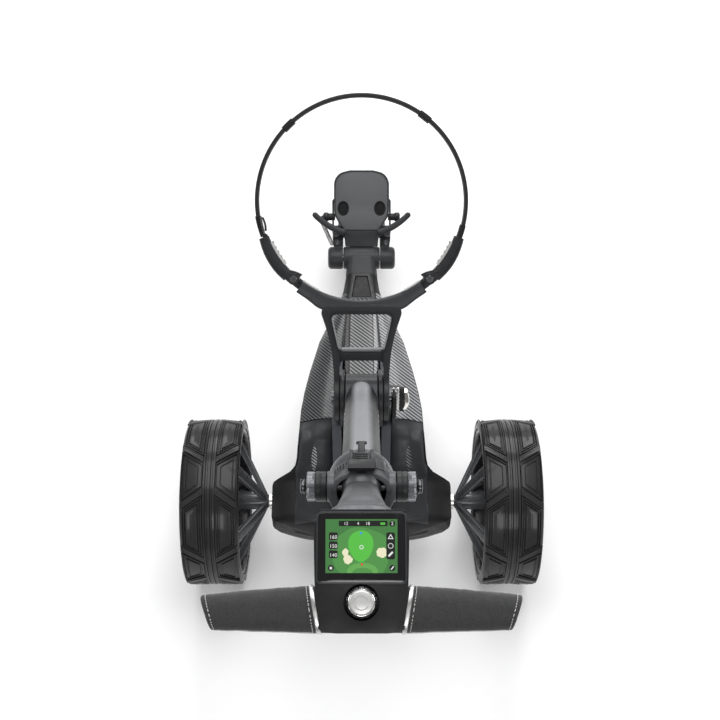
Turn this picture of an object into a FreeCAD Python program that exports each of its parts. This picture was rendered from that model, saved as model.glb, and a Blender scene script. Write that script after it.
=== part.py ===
import FreeCAD, Part
import math
import os
import re
import Sketcher
from FreeCAD import Placement, Rotation, Vector

# Electric golf trolley, millimetres, +Z up, +Y the way it travels, origin on the ground at the middle
# of its length. Each sub-part is drawn in the frame of its own station: the rear axle, the main hinge,
# the bag ring, the bag plate, the front barrel or the handle hinge.

doc = FreeCAD.newDocument("golf_trolley")
sheet = doc.addObject("Spreadsheet::Sheet", "sizes")
SIZES = {
    # stations, as distance ahead of the rear axle and height above the ground
    "axle_y": -120.5, "axle_z": 140,
    "pivot_ahead": 15.5, "pivot_height": 485,
    "bag_ahead": 213, "bag_height": 697,
    "plate_ahead": 575, "plate_height": 214,
    "barrel_ahead": 496, "barrel_height": 150,
    "front_axle_ahead": 601,
    # leans of the stations about the cross axis, degrees
    "tube_lean": 40.93, "bag_lean": 36.3, "cradle_lean": 58.1, "face_tilt": 25, "deck_slope": -13.2,
    # wheels
    "wheel_radius": 140, "tyre_width": 94, "tyre_depth": 17, "wheel_inner_x": 198,
    "front_wheel_radius": 95, "front_tyre_width": 46, "front_tyre_depth": 14,
    "axle_radius": 6, "rear_hub_radius": 19, "rear_hub_x": 158,
    # chassis
    "body_half": 152, "deck_half": 97, "neck_half": 29, "spine_half": 24, "wall_inner_x": 29.5,
    "wall_outer_x": 44, "shell_floor": 104, "panel_thick": 4,
    # main hinge, from the middle outwards
    "socket_half": 24, "ear_inner_x": 24.3, "ear_outer_x": 31.7, "disc_inner_x": 32, "disc_outer_x": 40.2,
    "disc_radius": 35, "pivot_radius": 6, "pin_clearance": 0.05,
    # tube and handle hinge
    "tube_radius": 23.5, "tube_wall": 2.5, "tube_length": 452.6,
    "collar_radius": 38, "collar_bore": 30, "ball_radius": 27.5, "handle_pin_radius": 5,
    "knob_radius": 15, "knob_inner_x": 38.4, "knob_outer_x": 51.5, "clear_outer_x": 60.5, "nub_outer_x": 68,
    # bag ring, cradle and strap
    "ring_radius": 150, "ring_thick": 12, "ring_width": 30, "strap_thick": 7, "strap_width": 18,
    "screw_ring_radius": 144, "screw_angle": 41.5, "knuckle_radius": 8.5, "screw_radius": 3,
    "cradle_thick": 20, "cradle_reach": 132,
    # lower bag support
    "plate_width": 104, "plate_length": 126, "plate_thick": 6, "slot_pitch": 34.5, "slot_floor": 2.5,
    "barrel_radius": 21, "barrel_half": 63.5, "barrel_seam_x": 35, "arm_radius": 127, "arm_thick": 14,
    # handle
    "handle_half": 171, "console_half": 49.5, "face_z": 92, "glass_half": 43.3, "glass_length": 76.6,
    "screen_y": -60, "dial_y": -117, "dial_cap_radius": 13.4, "dial_radius": 17, "grip_y": -122,
}
for row, (name, value) in enumerate(SIZES.items(), 1):
    sheet.set(f"A{row}", name)
    sheet.set(f"B{row}", str(value))
    sheet.setAlias(f"B{row}", name)
doc.recompute()

STATIONS = {
    "ground": (0, "0", 0),
    "axle": ("0", "axle_z", 0),
    "pivot": ("pivot_ahead", "pivot_height", 0),
    "tube": ("pivot_ahead", "pivot_height", "tube_lean"),
    "cradle": ("pivot_ahead", "pivot_height", "cradle_lean"),
    "bag": ("bag_ahead", "bag_height", "bag_lean"),
    "plate": ("plate_ahead", "plate_height", "bag_lean"),
    "barrel": ("barrel_ahead", "barrel_height", 0),
    "deck": ("470", "165", "deck_slope"),
    "front_axle": ("front_axle_ahead", "front_wheel_radius", 0),
    "handle": ("pivot_ahead - tube_length * sin(tube_lean * 1 deg)",
               "pivot_height + tube_length * cos(tube_lean * 1 deg)", "face_tilt"),
}
SUBPARTS = []


def formula(text):
    """A cell formula with every driving dimension named in full."""
    return re.sub(r"[a-z_]\w*", lambda m: "sizes." + m.group() if m.group() in SIZES else m.group(), str(text))


def value(text):
    return float(sheet.evalExpression(formula(text)))


def bind(obj, **sizes):
    for prop, text in sizes.items():
        obj.setExpression(prop.replace("__", "."), formula(text))
    return obj


def at(obj, x=0, y=0, z=0, axis=(0, 0, 1), turn=0):
    """Places a feature inside its own sub-part."""
    obj.Placement = Placement(Vector(0, 0, 0), Rotation(Vector(*axis), turn))
    return bind(obj, Placement__Base__x=x, Placement__Base__y=y, Placement__Base__z=z)


def station(obj, place):
    ahead, height, lean = STATIONS[place]
    obj.Placement = Placement(Vector(0, 0, 0), Rotation(Vector(1, 0, 0), 1))
    bind(obj, Placement__Base__y=f"axle_y + {ahead}", Placement__Base__z=height)
    return bind(obj, Placement__Rotation__Angle=f"{lean} * 1 deg")


def keep(obj, node, place):
    """Makes a feature a sub-part: its label names its file, its placement is its station's."""
    if any("Placement" in path for path, text in obj.ExpressionEngine):
        obj = wrap(node + "_holder", obj)
    obj.Label = node
    station(obj, place)
    SUBPARTS.append(obj)
    return obj


def rod(name, radius, start, end, y=0, z=0):
    """A cylinder along the cross axis from x = start to x = end."""
    shape = bind(doc.addObject("Part::Cylinder", name), Radius=radius, Height=f"({end}) - ({start})")
    return at(shape, start, y, z, (0, 1, 0), 90)


def post(name, radius, low, high, x=0, y=0):
    """A cylinder along the station's Z."""
    shape = bind(doc.addObject("Part::Cylinder", name), Radius=radius, Height=f"({high}) - ({low})")
    return at(shape, x, y, low)


def block(name, x, y, z):
    """A box from three (low, high) pairs."""
    shape = doc.addObject("Part::Box", name)
    bind(shape, Length=f"({x[1]}) - ({x[0]})", Width=f"({y[1]}) - ({y[0]})", Height=f"({z[1]}) - ({z[0]})")
    return at(shape, x[0], y[0], z[0])


def span(side, near, far):
    """Two distances from the middle as (low, high) x, on the right (1) or the left (-1)."""
    return (near, far) if side > 0 else (f"-({far})", f"-({near})")


def ball(name, radius):
    return bind(doc.addObject("Part::Sphere", name), Radius=radius)


def fuse(name, *shapes):
    joined = doc.addObject("Part::MultiFuse", name)
    joined.Shapes = list(shapes)
    return joined


def wrap(name, shape):
    """Holds one feature that has its own place inside its sub-part."""
    holder = doc.addObject("Part::Compound", name)
    holder.Links = [shape]
    return holder


def cut(name, base, *tools):
    for index, tool in enumerate(tools):
        result = doc.addObject("Part::Cut", f"{name}_cut{index}")
        result.Base = base
        result.Tool = tool
        base = result
    return base


def body(name):
    return doc.addObject("PartDesign::Body", name + "_body")


def outline(owner, name, plane, points):
    """A closed polygon sketch on one of the body's planes, each corner driven by its two formulas."""
    sketch = owner.newObject("Sketcher::SketchObject", name)
    origin = [f for f in owner.Origin.OriginFeatures if f.Role == plane][0]
    sketch.AttachmentSupport = [(origin, "")]
    sketch.MapMode = "FlatFace"
    corners = [(value(a), value(b)) for a, b in points]
    count = len(corners)
    for index in range(count):
        start, end = corners[index], corners[(index + 1) % count]
        sketch.addGeometry(Part.LineSegment(Vector(*start, 0), Vector(*end, 0)))
    for index in range(count):
        sketch.addConstraint(Sketcher.Constraint("Coincident", index, 2, (index + 1) % count, 1))
    for index, texts in enumerate(points):
        for kind, text, number in zip(("DistanceX", "DistanceY"), texts, corners[index]):
            driven = sketch.addConstraint(Sketcher.Constraint(kind, -1, 1, index, 1, number))
            if isinstance(text, str):
                sketch.setExpression(f"Constraints[{driven}]", formula(text))
    return sketch


def mirrored(points):
    """Closes a right-hand half outline, listed from front to rear, with its left-hand copy."""
    return list(points) + [(f"-({a})", b) for a, b in reversed(points)]


def pad(owner, name, plane, points, length, reverse=False, middle=False):
    feature = owner.newObject("PartDesign::Pad", name)
    feature.Profile = outline(owner, name + "_outline", plane, points)
    feature.Reversed = reverse
    feature.Midplane = middle
    return bind(feature, Length=length)


def pocket(owner, name, plane, points, length, reverse=False, middle=False):
    feature = owner.newObject("PartDesign::Pocket", name)
    feature.Profile = outline(owner, name + "_outline", plane, points)
    feature.Reversed = reverse
    feature.Midplane = middle
    return bind(feature, Length=length)


def turned(name, plane, points, axis="H_Axis", angle=360):
    """A body of revolution about one axis of its outline's plane."""
    owner = body(name)
    feature = owner.newObject("PartDesign::Revolution", name + "_turn")
    sketch = outline(owner, name + "_outline", plane, points)
    feature.Profile = sketch
    feature.ReferenceAxis = (sketch, [axis])
    feature.Midplane = angle != 360
    bind(feature, Angle=angle)
    return owner


def side_plate(name, points, inner, outer, side):
    """A side-view outline between two distances from the middle, on the right (1) or the left (-1)."""
    plate = body(name)
    pad(plate, name + "_pad", "YZ_Plane", points, f"({outer}) - ({inner})", reverse=side < 0)
    return at(plate, f"{side} * ({inner})")


def chassis_tray():
    tray = body("chassis_tray")
    plan = [("neck_half - 4", 452), ("neck_half", 440), (42, 375), (69, 300), (90, 200), ("deck_half + 4", 130),
            ("deck_half + 6", 95), ("deck_half + 12", 44), ("body_half", 22), ("body_half", -47), (92, -62),
            (70, -70)]
    pad(tray, "tray_plan", "XY_Plane", mirrored(plan), 320)
    top = [(500, 158), (470, 165), (99, 252), (60, 232), (26, 187), (-50, 174), (-72, 150), (-90, 150),
           (-90, 330), (500, 330)]
    pocket(tray, "tray_top", "YZ_Plane", top, 400, middle=True)
    base = [(-90, -10), (500, -10), (500, 130), (300, 112), (60, "shell_floor - 4"), (-60, "shell_floor - 4"),
            (-90, 125)]
    pocket(tray, "tray_base", "YZ_Plane", base, 400, middle=True)
    bay = [("body_half - 5", 16), ("body_half - 5", -42), (84, -54)]
    pocket(tray, "axle_bay", "XY_Plane", mirrored(bay), 166, reverse=True)
    inner = [(60, 250), (86, 140), (92, 90), (97, 40), (97, 10)]
    pocket(tray, "deck_bay", "XY_Plane", mirrored(inner), 192, reverse=True)
    bore = rod("axle_bore", "axle_radius + 8", "-body_half - 2", "body_half + 2", 0, "axle_z")
    barrel_room = rod("barrel_room", "barrel_radius - 1", -80, 80, "barrel_ahead", "barrel_height")
    button_room = at(wrap("button_room", block("button_pocket", (-15.4, 15.4), (-70.4, -35.6), (-9, 9))),
                     0, 470, 165, (1, 0, 0), SIZES["deck_slope"])
    keep(cut("tray", tray, bore, barrel_room, button_room), "chassis_tray", "ground")


def bottom_cover():
    cover = body("bottom_cover")
    plan = [(58, 246), (84, 138), (90, 88), (95, 44), (95, 14), ("body_half - 7", 14), ("body_half - 7", -40),
            (82, -50)]
    pad(cover, "cover_plan", "XY_Plane", mirrored(plan), 3)
    at(cover, 0, 0, 112)
    feet = [block(f"cover_foot_{n}", (x - 5, x + 5), (y - 5, y + 5), (114, 190 if y > 100 else 150))
            for n, (x, y) in enumerate([(-60, 150), (60, 150), (-88, -30), (88, -30)])]
    keep(fuse("bottom_cover_all", cover, *feet), "bottom_cover", "ground")


def spine_beam():
    beam = body("spine_beam")
    side = [(50, 466), (352, 262.5), (390, 184.6), (99, 253), (96, 380), (34, 440)]
    pad(beam, "beam_side", "YZ_Plane", side, "2 * spine_half", middle=True)
    clear = rod("beam_clear", "disc_radius + 1", -60, 60, "pivot_ahead", "pivot_height")
    keep(cut("spine", beam, clear), "spine_beam", "ground")


def spine_strip():
    """The carbon-look strip along the top of the spine, bevelled down to its edges."""
    strip = body("spine_strip")
    side = [(54, 463.9), (350, 264.4), (353, 268.8), (57, 468.3)]
    pad(strip, "strip_side", "YZ_Plane", side, "2 * spine_half - 6", middle=True)
    keep(strip, "spine_strip", "ground")


def tower_walls():
    """Side walls of the tower: they hold the battery between them and carry the hinge ears."""
    for side, word in ((1, "right"), (-1, "left")):
        edge = [(-66, 188), (-40, 205), (26, 210), (60, 240), (99, 256), (190, 235), (205, 300), (120, 392),
                (60, 420), (30, 440), (-12, 446), (-84, 262)]
        wall = side_plate("wall_" + word, edge, "wall_inner_x", "wall_outer_x", side)
        bridge = side_plate("ear_bridge_" + word, [(112, 398), (60, 478), (30, 500), (-20, 470), (-10, 440),
                                                   (40, 420)], "ear_inner_x", "ear_outer_x", side)
        ear = rod("ear_" + word, "disc_radius", *span(side, "ear_inner_x", "ear_outer_x"), "pivot_ahead",
                  "pivot_height")
        hole = rod("ear_hole_" + word, "pivot_radius", -60, 60, "pivot_ahead", "pivot_height")
        sweep = rod("disc_sweep_" + word, "disc_radius + 1.5", *span(side, "ear_outer_x", 60), "pivot_ahead",
                    "pivot_height")
        seat = block("spine_seat_" + word, ("-spine_half", "spine_half"), (-100, 480), (100, 520))
        keep(cut("tower_" + word, fuse("tower_all_" + word, cut("swept_" + word, wall, sweep), bridge, ear),
                 hole, seat), "tower_wall_" + word, "ground")


def deck_panels():
    """Carbon-look panels on the sloping deck, each side of the spine."""
    for side, word in ((1, "right"), (-1, "left")):
        panel = body("panel_" + word)
        plan = [(27, -30), (38, -95), (65, -174), (86, -277), ("deck_half", -349), ("deck_half + 2", -376),
                ("wall_outer_x + 1", -376), ("wall_outer_x + 1", -270), ("spine_half + 1", -262),
                ("spine_half + 1", -30)]
        pad(panel, "panel_plan_" + word, "XY_Plane", [(f"{side} * ({a})", b) for a, b in plan], "panel_thick")
        keep(panel, "deck_panel_" + word, "deck")


def drive():
    motor = fuse("motor_all", rod("motor_can", 26, -62, 22, 46, 158), rod("motor_nose", 11, 22, 34, 46, 158))
    keep(motor, "drive_motor", "ground")
    waist = block("gear_waist", (36, 66), (4, 42), (130, 164))
    case = fuse("gear_all", rod("gear_large", 24, 36, 66, 0, "axle_z"), rod("gear_small", 22, 36, 66, 46, 158),
                waist)
    bore = rod("gear_bore", "axle_radius + pin_clearance", 30, 70, 0, "axle_z")
    nose = rod("gear_nose", 11.5, 30, 40, 46, 158)
    keep(cut("gear_case", case, bore, nose), "gearbox", "ground")
    for side, word in ((1, "right"), (-1, "left")):
        ring = rod("bearing_ring_" + word, "axle_radius + 8", *span(side, "body_half - 12", "body_half + 4"), 0,
                   "axle_z")
        hole = rod("bearing_hole_" + word, "axle_radius + pin_clearance", -200, 200, 0, "axle_z")
        keep(cut("bearing_" + word, ring, hole), "axle_bearing_" + word, "ground")


def main_pin():
    pin = fuse("main_pin_all", rod("main_pin_bar", "pivot_radius", "-disc_outer_x - 2", "disc_outer_x + 2"),
               rod("main_pin_head", 11, "-disc_outer_x - 4.5", "-disc_outer_x - 0.3"),
               rod("main_pin_nut", 11, "disc_outer_x + 0.3", "disc_outer_x + 4.5"))
    keep(pin, "main_pivot_pin", "pivot")


def neck_barrel():
    barrel = rod("neck_barrel_tube", "barrel_radius", "-barrel_seam_x + 0.4", "barrel_seam_x - 0.4")
    root = body("neck_root")
    pad(root, "neck_root_side", "YZ_Plane", [(-8, 18), (-22, 17), (-22, -12), (-12, -17)], 52, middle=True)
    hole = rod("neck_hole", "pivot_radius", -90, 90)
    keep(cut("neck_barrel", fuse("neck_barrel_all", barrel, root), hole), "neck_barrel", "barrel")
    pin = rod("front_pin_bar", "pivot_radius", "-barrel_half + 3", "barrel_half - 3")
    keep(pin, "front_pivot_pin", "barrel")


def latch():
    """Over-centre buckle that locks the main hinge: a base on the tower and a hinged lever."""
    base = body("latch_base")
    side = [(-24, -44), (14, -44), (16, -34), (2, 14), (-10, 18), (-24, -20)]
    pad(base, "latch_base_side", "YZ_Plane", side, 6)
    at(base, "wall_outer_x + 1.2", 0, 0)
    foot = block("latch_foot", ("wall_outer_x", "wall_outer_x + 7.2"), (-20, 10), (-62, -41.5))
    lug = rod("latch_lug", 3, "wall_outer_x + 2", 69, -4, 10)
    keep(fuse("latch_base_all", base, foot, lug), "latch_base", "pivot")
    arm = body("latch_arm")
    pad(arm, "latch_arm_side", "YZ_Plane", [(-14, 18), (-22, 8), (-28, -38), (-18, -40), (-9, -4), (4, 0),
                                            (6, 14), (-2, 19)], 16)
    at(arm, "wall_outer_x + 8", 0, 0)
    hole = rod("latch_hole", "3 + pin_clearance", "wall_outer_x", 90, -4, 10)
    keep(cut("latch_lever", arm, hole), "latch_lever", "pivot")


def battery():
    case = block("battery_box", (-28, 28), (-78, 82), (262, 356))
    grip = block("battery_grip", (-20, 20), (-96, -78), (330, 344))
    hollow = block("battery_finger", (-14, 14), (-90, -78), (320, 350))
    foot = block("battery_foot", (-24, 24), (-76, 80), (256, 262))
    keep(cut("battery", fuse("battery_all", case, grip, foot), hollow), "battery_pack", "ground")


def battery_shelf():
    """Shelf between the tower walls that the battery stands on."""
    shelf = body("battery_shelf")
    side = [(-84, 250), (-84, 255.7), (92, 255.7), (92, 249.5), (60, 233.5), (44, 250), (-30, 250),
            (-34, 177.8), (-46, 175.8), (-50, 250)]
    pad(shelf, "shelf_side", "YZ_Plane", side, "2 * wall_inner_x - 0.6", middle=True)
    keep(shelf, "battery_shelf", "ground")


def rear_wheels():
    """Tyre, hollow rim with cone spokes and turning half axle, on each side."""
    for side, word in ((1, "right"), (-1, "left")):
        start, end = ("wheel_inner_x", "wheel_inner_x + tyre_width")
        tread = [(start, "wheel_radius - tyre_depth"), (start, "wheel_radius - 5"),
                 ("wheel_inner_x + 7", "wheel_radius"), ("wheel_inner_x + tyre_width - 7", "wheel_radius"),
                 (end, "wheel_radius - 5"), (end, "wheel_radius - tyre_depth")]
        tyre = turned("tyre_" + word, "XY_Plane", [(f"{side} * ({a})", b) for a, b in tread])
        keep(tyre, "tyre_" + word, "axle")
        barrel = [("wheel_inner_x + 2", "wheel_radius - tyre_depth"),
                  ("wheel_inner_x + 2", "wheel_radius - tyre_depth - 6"),
                  ("wheel_inner_x + tyre_width - 2", "wheel_radius - tyre_depth - 6"),
                  ("wheel_inner_x + tyre_width - 2", "wheel_radius - tyre_depth")]
        hoop = turned("hoop_" + word, "XY_Plane", [(f"{side} * ({a})", b) for a, b in barrel])
        hub = rod("hub_" + word, "rear_hub_radius", *span(side, "rear_hub_x", "wheel_inner_x + 30"))
        spokes = []
        for number in range(5):
            spoke = body(f"spoke_{word}_{number}")
            corners = [("rear_hub_x + 2", 12), ("rear_hub_x + 26", 12), ("wheel_inner_x + 58", 119),
                       ("wheel_inner_x + 26", 119)]
            pad(spoke, f"spoke_pad_{word}_{number}", "XY_Plane", [(f"{side} * ({a})", b) for a, b in corners],
                26, middle=True)
            at(spoke, 0, 0, 0, (1, 0, 0), 72 * number + 10)
            spokes.append(spoke)
        hole = rod("hub_hole_" + word, "axle_radius", -300, 300)
        keep(cut("rim_" + word, fuse("rim_all_" + word, hoop, hub, *spokes), hole), "rim_" + word, "axle")
        ends = span(side, 38 if side > 0 else 72, "wheel_inner_x + 36")
        keep(rod("axle_" + word, "axle_radius", *ends), "half_axle_" + word, "axle")


def front_unit():
    """Front wheel carrier: barrel ends with cheeks and fork legs, the bracket and the bag plate."""
    for side, word in ((1, "right"), (-1, "left")):
        end = rod("barrel_end_" + word, "barrel_radius", *span(side, "barrel_seam_x", "barrel_half"))
        leg = side_plate("fork_leg_" + word, [(6, -18), (14, 12), (34, 8), (116, -40), (121, -56), (110, -72),
                                              (92, -72)], 36, 46, side)
        edge = [(8, -10), (2, 18), (20, 18), (37.4, 16.6), (54.7, 28.9), (59.8, 22.6), (36, 2)]
        cheek = side_plate("cheek_" + word, edge, 36, 53, side)
        pin_hole = rod("front_pin_hole_" + word, "pivot_radius + pin_clearance", -90, 90)
        axle_hole = rod("front_axle_hole_" + word, "axle_radius", -90, 90,
                        "front_axle_ahead - barrel_ahead", "front_wheel_radius - barrel_height")
        keep(cut("fork_" + word, fuse("fork_all_" + word, end, leg, cheek), pin_hole, axle_hole),
             "front_fork_" + word, "barrel")
    keep(rod("front_axle_bar", "axle_radius", -46, 46), "front_axle", "front_axle")
    bracket = block("bracket_block", (-54, 54), (-64, -40), (-11.2, -3.2))
    slots = [block(f"bracket_slot_{n}", (x - 4, x + 4), (-66, -48), (-30, 10)) for n, x in enumerate((-31, 31))]
    studs = [post(f"arm_stud_{n}", "screw_radius", -8, 14, x, -56) for n, x in enumerate((-47.5, 47.5))]
    tongue = block("bracket_tongue", (-26.8, 26.8), (-80.2, -50.4), (-9, 2.6))
    keep(fuse("bracket_all", cut("bracket", bracket, *slots), tongue, *studs), "front_bracket", "plate")


def bag_plate():
    plate = body("bag_plate")
    half = [("plate_width / 2 - 30", "plate_length / 2"), ("plate_width / 2 - 12", "plate_length / 2 - 6"),
            ("plate_width / 2 - 3", "plate_length / 2 - 16"), ("plate_width / 2", "plate_length / 2 - 30"),
            ("plate_width / 2", -22), ("plate_width / 2 - 19", "13 - plate_length / 2")]
    pad(plate, "plate_plan", "XY_Plane", mirrored(half), "plate_thick")
    holes = []
    for side, word in ((1, "right"), (-1, "left")):
        hole = body("plate_hole_" + word)
        oval = [(round(9.5 * math.cos(math.radians(a)), 3), round(12.5 * math.sin(math.radians(a)), 3))
                for a in range(0, 360, 15)]
        pad(hole, "plate_hole_pad_" + word, "XY_Plane", oval, 30, middle=True)
        holes.append(at(hole, f"{side} * slot_pitch", -8, "15 + slot_floor"))
    shaped = cut("bag_plate", plate, *holes)
    at(shaped, 0, 0, -3)
    keep(shaped, "bag_plate", "plate")


def lower_arms():
    """Curved arms that hold the foot of the bag, turning on studs of the bracket."""
    for side, word in ((1, "right"), (-1, "left")):
        arc = turned("arm_arc_" + word, "YZ_Plane", [("-arm_radius", 6), ("-arm_radius", 27),
                     ("-arm_radius + 13", 27), ("-arm_radius + 13", 6)], "V_Axis", 34)
        at(arc, 0, "arm_radius - 64", 0, (0, 0, 1), side * 32)
        foot = post("arm_foot_" + word, 7, -2.9, 12, f"{side} * 47.5", -56)
        web = block("arm_web_" + word, span(side, 41, 54), (-56, -46), (6, 12))
        hole = post("arm_hole_" + word, "screw_radius + pin_clearance", -20, 40, f"{side} * 47.5", -56)
        keep(cut("arm_" + word, fuse("arm_all_" + word, arc, foot, web), hole), "lower_arm_" + word, "plate")


def front_wheel():
    tread = [("-front_tyre_width / 2", "front_wheel_radius - front_tyre_depth"),
             ("-front_tyre_width / 2", "front_wheel_radius - 7"),
             ("-front_tyre_width / 2 + 9", "front_wheel_radius"),
             ("front_tyre_width / 2 - 9", "front_wheel_radius"),
             ("front_tyre_width / 2", "front_wheel_radius - 7"),
             ("front_tyre_width / 2", "front_wheel_radius - front_tyre_depth")]
    keep(turned("front_tyre", "XY_Plane", tread), "front_tyre", "front_axle")
    disc = [(-20, "axle_radius + pin_clearance"), (-33, "axle_radius + pin_clearance"), (-33, 14), (-12, 17),
            (-12, 68), (-20, 74), (-20, "front_wheel_radius - front_tyre_depth"),
            (20, "front_wheel_radius - front_tyre_depth"), (20, 74), (12, 68), (12, 17), (33, 14),
            (33, "axle_radius + pin_clearance")]
    keep(turned("front_rim", "XY_Plane", disc[1:]), "front_rim", "front_axle")


def front_button():
    """Release button for the front unit, sunk in the top of the neck."""
    button = body("front_button")
    pad(button, "button_plan", "XY_Plane", [(-10, -36), (10, -36), (15, -70), (-15, -70)], 8)
    at(button, 0, 0, -4)
    keep(button, "front_button", "deck")


def shaft():
    """Lower socket, main tube and the collar that carries the handle."""
    barrel = rod("socket_barrel", "disc_radius - 1", "-socket_half", "socket_half")
    sleeve = post("socket_sleeve", "tube_radius + 0.4", 0, 62)
    hole = rod("socket_hole", "pivot_radius + pin_clearance", -60, 60)
    tube_end = post("tube_seat", "tube_radius - tube_wall", 44, 90)
    keep(cut("socket", fuse("socket_all", barrel, sleeve), hole, tube_end), "tube_socket", "tube")
    outer = post("tube_outer", "tube_radius", 62.2, "tube_length - 40.2")
    inner = post("tube_inner", "tube_radius - tube_wall", 40, 500)
    keep(cut("tube", outer, inner), "main_tube", "tube")
    ring = post("collar_ring", "collar_radius", "tube_length - 20", "tube_length + 17")
    cone = bind(doc.addObject("Part::Cone", "collar_cone"), Radius1="tube_radius", Radius2="collar_radius",
                Height=20)
    at(cone, 0, 0, "tube_length - 40")
    bore = post("collar_bore_tool", "collar_bore", "tube_length - 28.5", "tube_length + 40")
    across = rod("collar_pin_hole", "handle_pin_radius", -90, 90, 0, "tube_length")
    slant = block("collar_slant_block", (-60, 60), (0, 40), (-30, 60))
    slant = at(wrap("collar_slant", slant), 0, 38.5, "tube_length - 17", (1, 0, 0), 29.7)
    keep(cut("collar", fuse("collar_all", ring, cone), bore, across, slant), "handle_collar", "tube")
    pin = rod("handle_pin_bar", "handle_pin_radius", -58, 58, 0, "tube_length")
    keep(pin, "handle_pin", "tube")


def knobs():
    """Clamp knobs on the handle pin, each with a clear ribbed ring and an end nub."""
    for side, word in ((1, "right"), (-1, "left")):
        spans = [("knob_inner_x", "knob_outer_x", "knob_radius"), ("clear_outer_x", "nub_outer_x", 8),
                 ("knob_outer_x - 1", "clear_outer_x + 1", 10)]
        rods = [rod(f"knob_{word}_{n}", r, *span(side, a, b), 0, "tube_length")
                for n, (a, b, r) in enumerate(spans)]
        hole = rod("knob_hole_" + word, "handle_pin_radius + pin_clearance", -59, 59, 0, "tube_length")
        keep(cut("knob_" + word, fuse("knob_all_" + word, *rods), hole), "clamp_knob_" + word, "tube")
        ends = span(side, "knob_outer_x + 0.1", "clear_outer_x - 0.1")
        ring = rod("clear_" + word, "knob_radius - 1.5", *ends, 0, "tube_length")
        core = rod("clear_core_" + word, 10, -90, 90, 0, "tube_length")
        keep(cut("clear_ring_" + word, ring, core), "clear_ring_" + word, "tube")


def clip_lever():
    """Height clip lying on the slanted front of the collar, hinged at its foot."""
    lever = body("clip_lever")
    side = [(39, -31), (39, -16.2), (30.4, -0.8), (27.2, 10.5), (22.5, 19), (26.5, 23), (32, 17.5), (46.5, -12),
            (46, -24), (43, -31)]
    pad(lever, "clip_side", "YZ_Plane", side, 28, middle=True)
    at(lever, 0, 0, "tube_length")
    keep(lever, "clip_lever", "tube")


def cradle():
    """Y-shaped frame from the main hinge to the arc that the bag lies in."""
    frame = body("cradle_plate")
    half = [(78, 152), (60, 128), ("disc_outer_x + 9", 112), ("disc_outer_x + 3", 80), ("disc_outer_x", 45),
            ("disc_outer_x", 0)]
    pad(frame, "cradle_outline", "XY_Plane", mirrored(half), "cradle_thick", middle=True)
    window = [(38, "cradle_reach"), (43, "cradle_reach - 6"), (32, 76), (28, 73)]
    pocket(frame, "cradle_window", "XY_Plane", mirrored(window), "cradle_thick + 2", middle=True)
    relief = [(31, 60), (31, 73), (-31, 73), (-31, 60)]
    pocket(frame, "cradle_relief", "XY_Plane", relief, 20, reverse=True)
    fork = [("disc_inner_x", 60), ("disc_inner_x", -60)]
    pocket(frame, "cradle_fork", "XY_Plane", mirrored(fork), 60, middle=True)
    discs = [rod(f"cradle_disc_{word}", "disc_radius", *span(side, "disc_inner_x", "disc_outer_x"))
             for side, word in ((1, "right"), (-1, "left"))]
    hole = rod("cradle_hole", "pivot_radius + pin_clearance", -60, 60)
    low = cut("cradle_low", fuse("cradle_low_all", frame, *discs), hole)
    back, down = "(pivot_ahead - bag_ahead)", "(pivot_height - bag_height)"
    cosine, sine = "cos(bag_lean * 1 deg)", "sin(bag_lean * 1 deg)"
    at(low, 0, f"{back} * {cosine} + {down} * {sine}", f"{down} * {cosine} - {back} * {sine}", (1, 0, 0), 1)
    bind(low, Placement__Rotation__Angle="(cradle_lean - bag_lean) * 1 deg")
    arc = ring_arc("cradle_arc", "ring_thick", "ring_width", 72)
    parts = [low, arc]
    for side, word in ((1, "right"), (-1, "left")):
        knuckle = post("knuckle_" + word, "knuckle_radius", "-ring_width / 2", -0.4, 0, "-screw_ring_radius")
        screw = post("pad_screw_" + word, "screw_radius", -2, "ring_width / 2 + 1.5", 0, "-screw_ring_radius")
        bar = block("knuckle_bar_" + word, (-18, 0) if side > 0 else (0, 18),
                    ("-ring_radius + 1", "-ring_radius + ring_thick - 1"), ("-ring_width / 2", -0.4))
        group = fuse("knuckle_all_" + word, knuckle, screw, bar)
        parts.append(at(group, 0, 0, 0, (0, 0, 1), side * SIZES["screw_angle"]))
    keep(fuse("cradle_all", *parts), "cradle_frame", "bag")


def ring_arc(name, thick, width, angle, radius="ring_radius"):
    """Part of the bag ring, centred on its lowest point."""
    corners = [(f"-({radius})", f"-({width}) / 2"), (f"-({radius})", f"({width}) / 2"),
               (f"-({radius}) + ({thick})", f"({width}) / 2"), (f"-({radius}) + ({thick})", f"-({width}) / 2")]
    return turned(name, "YZ_Plane", corners, "V_Axis", angle)


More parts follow.
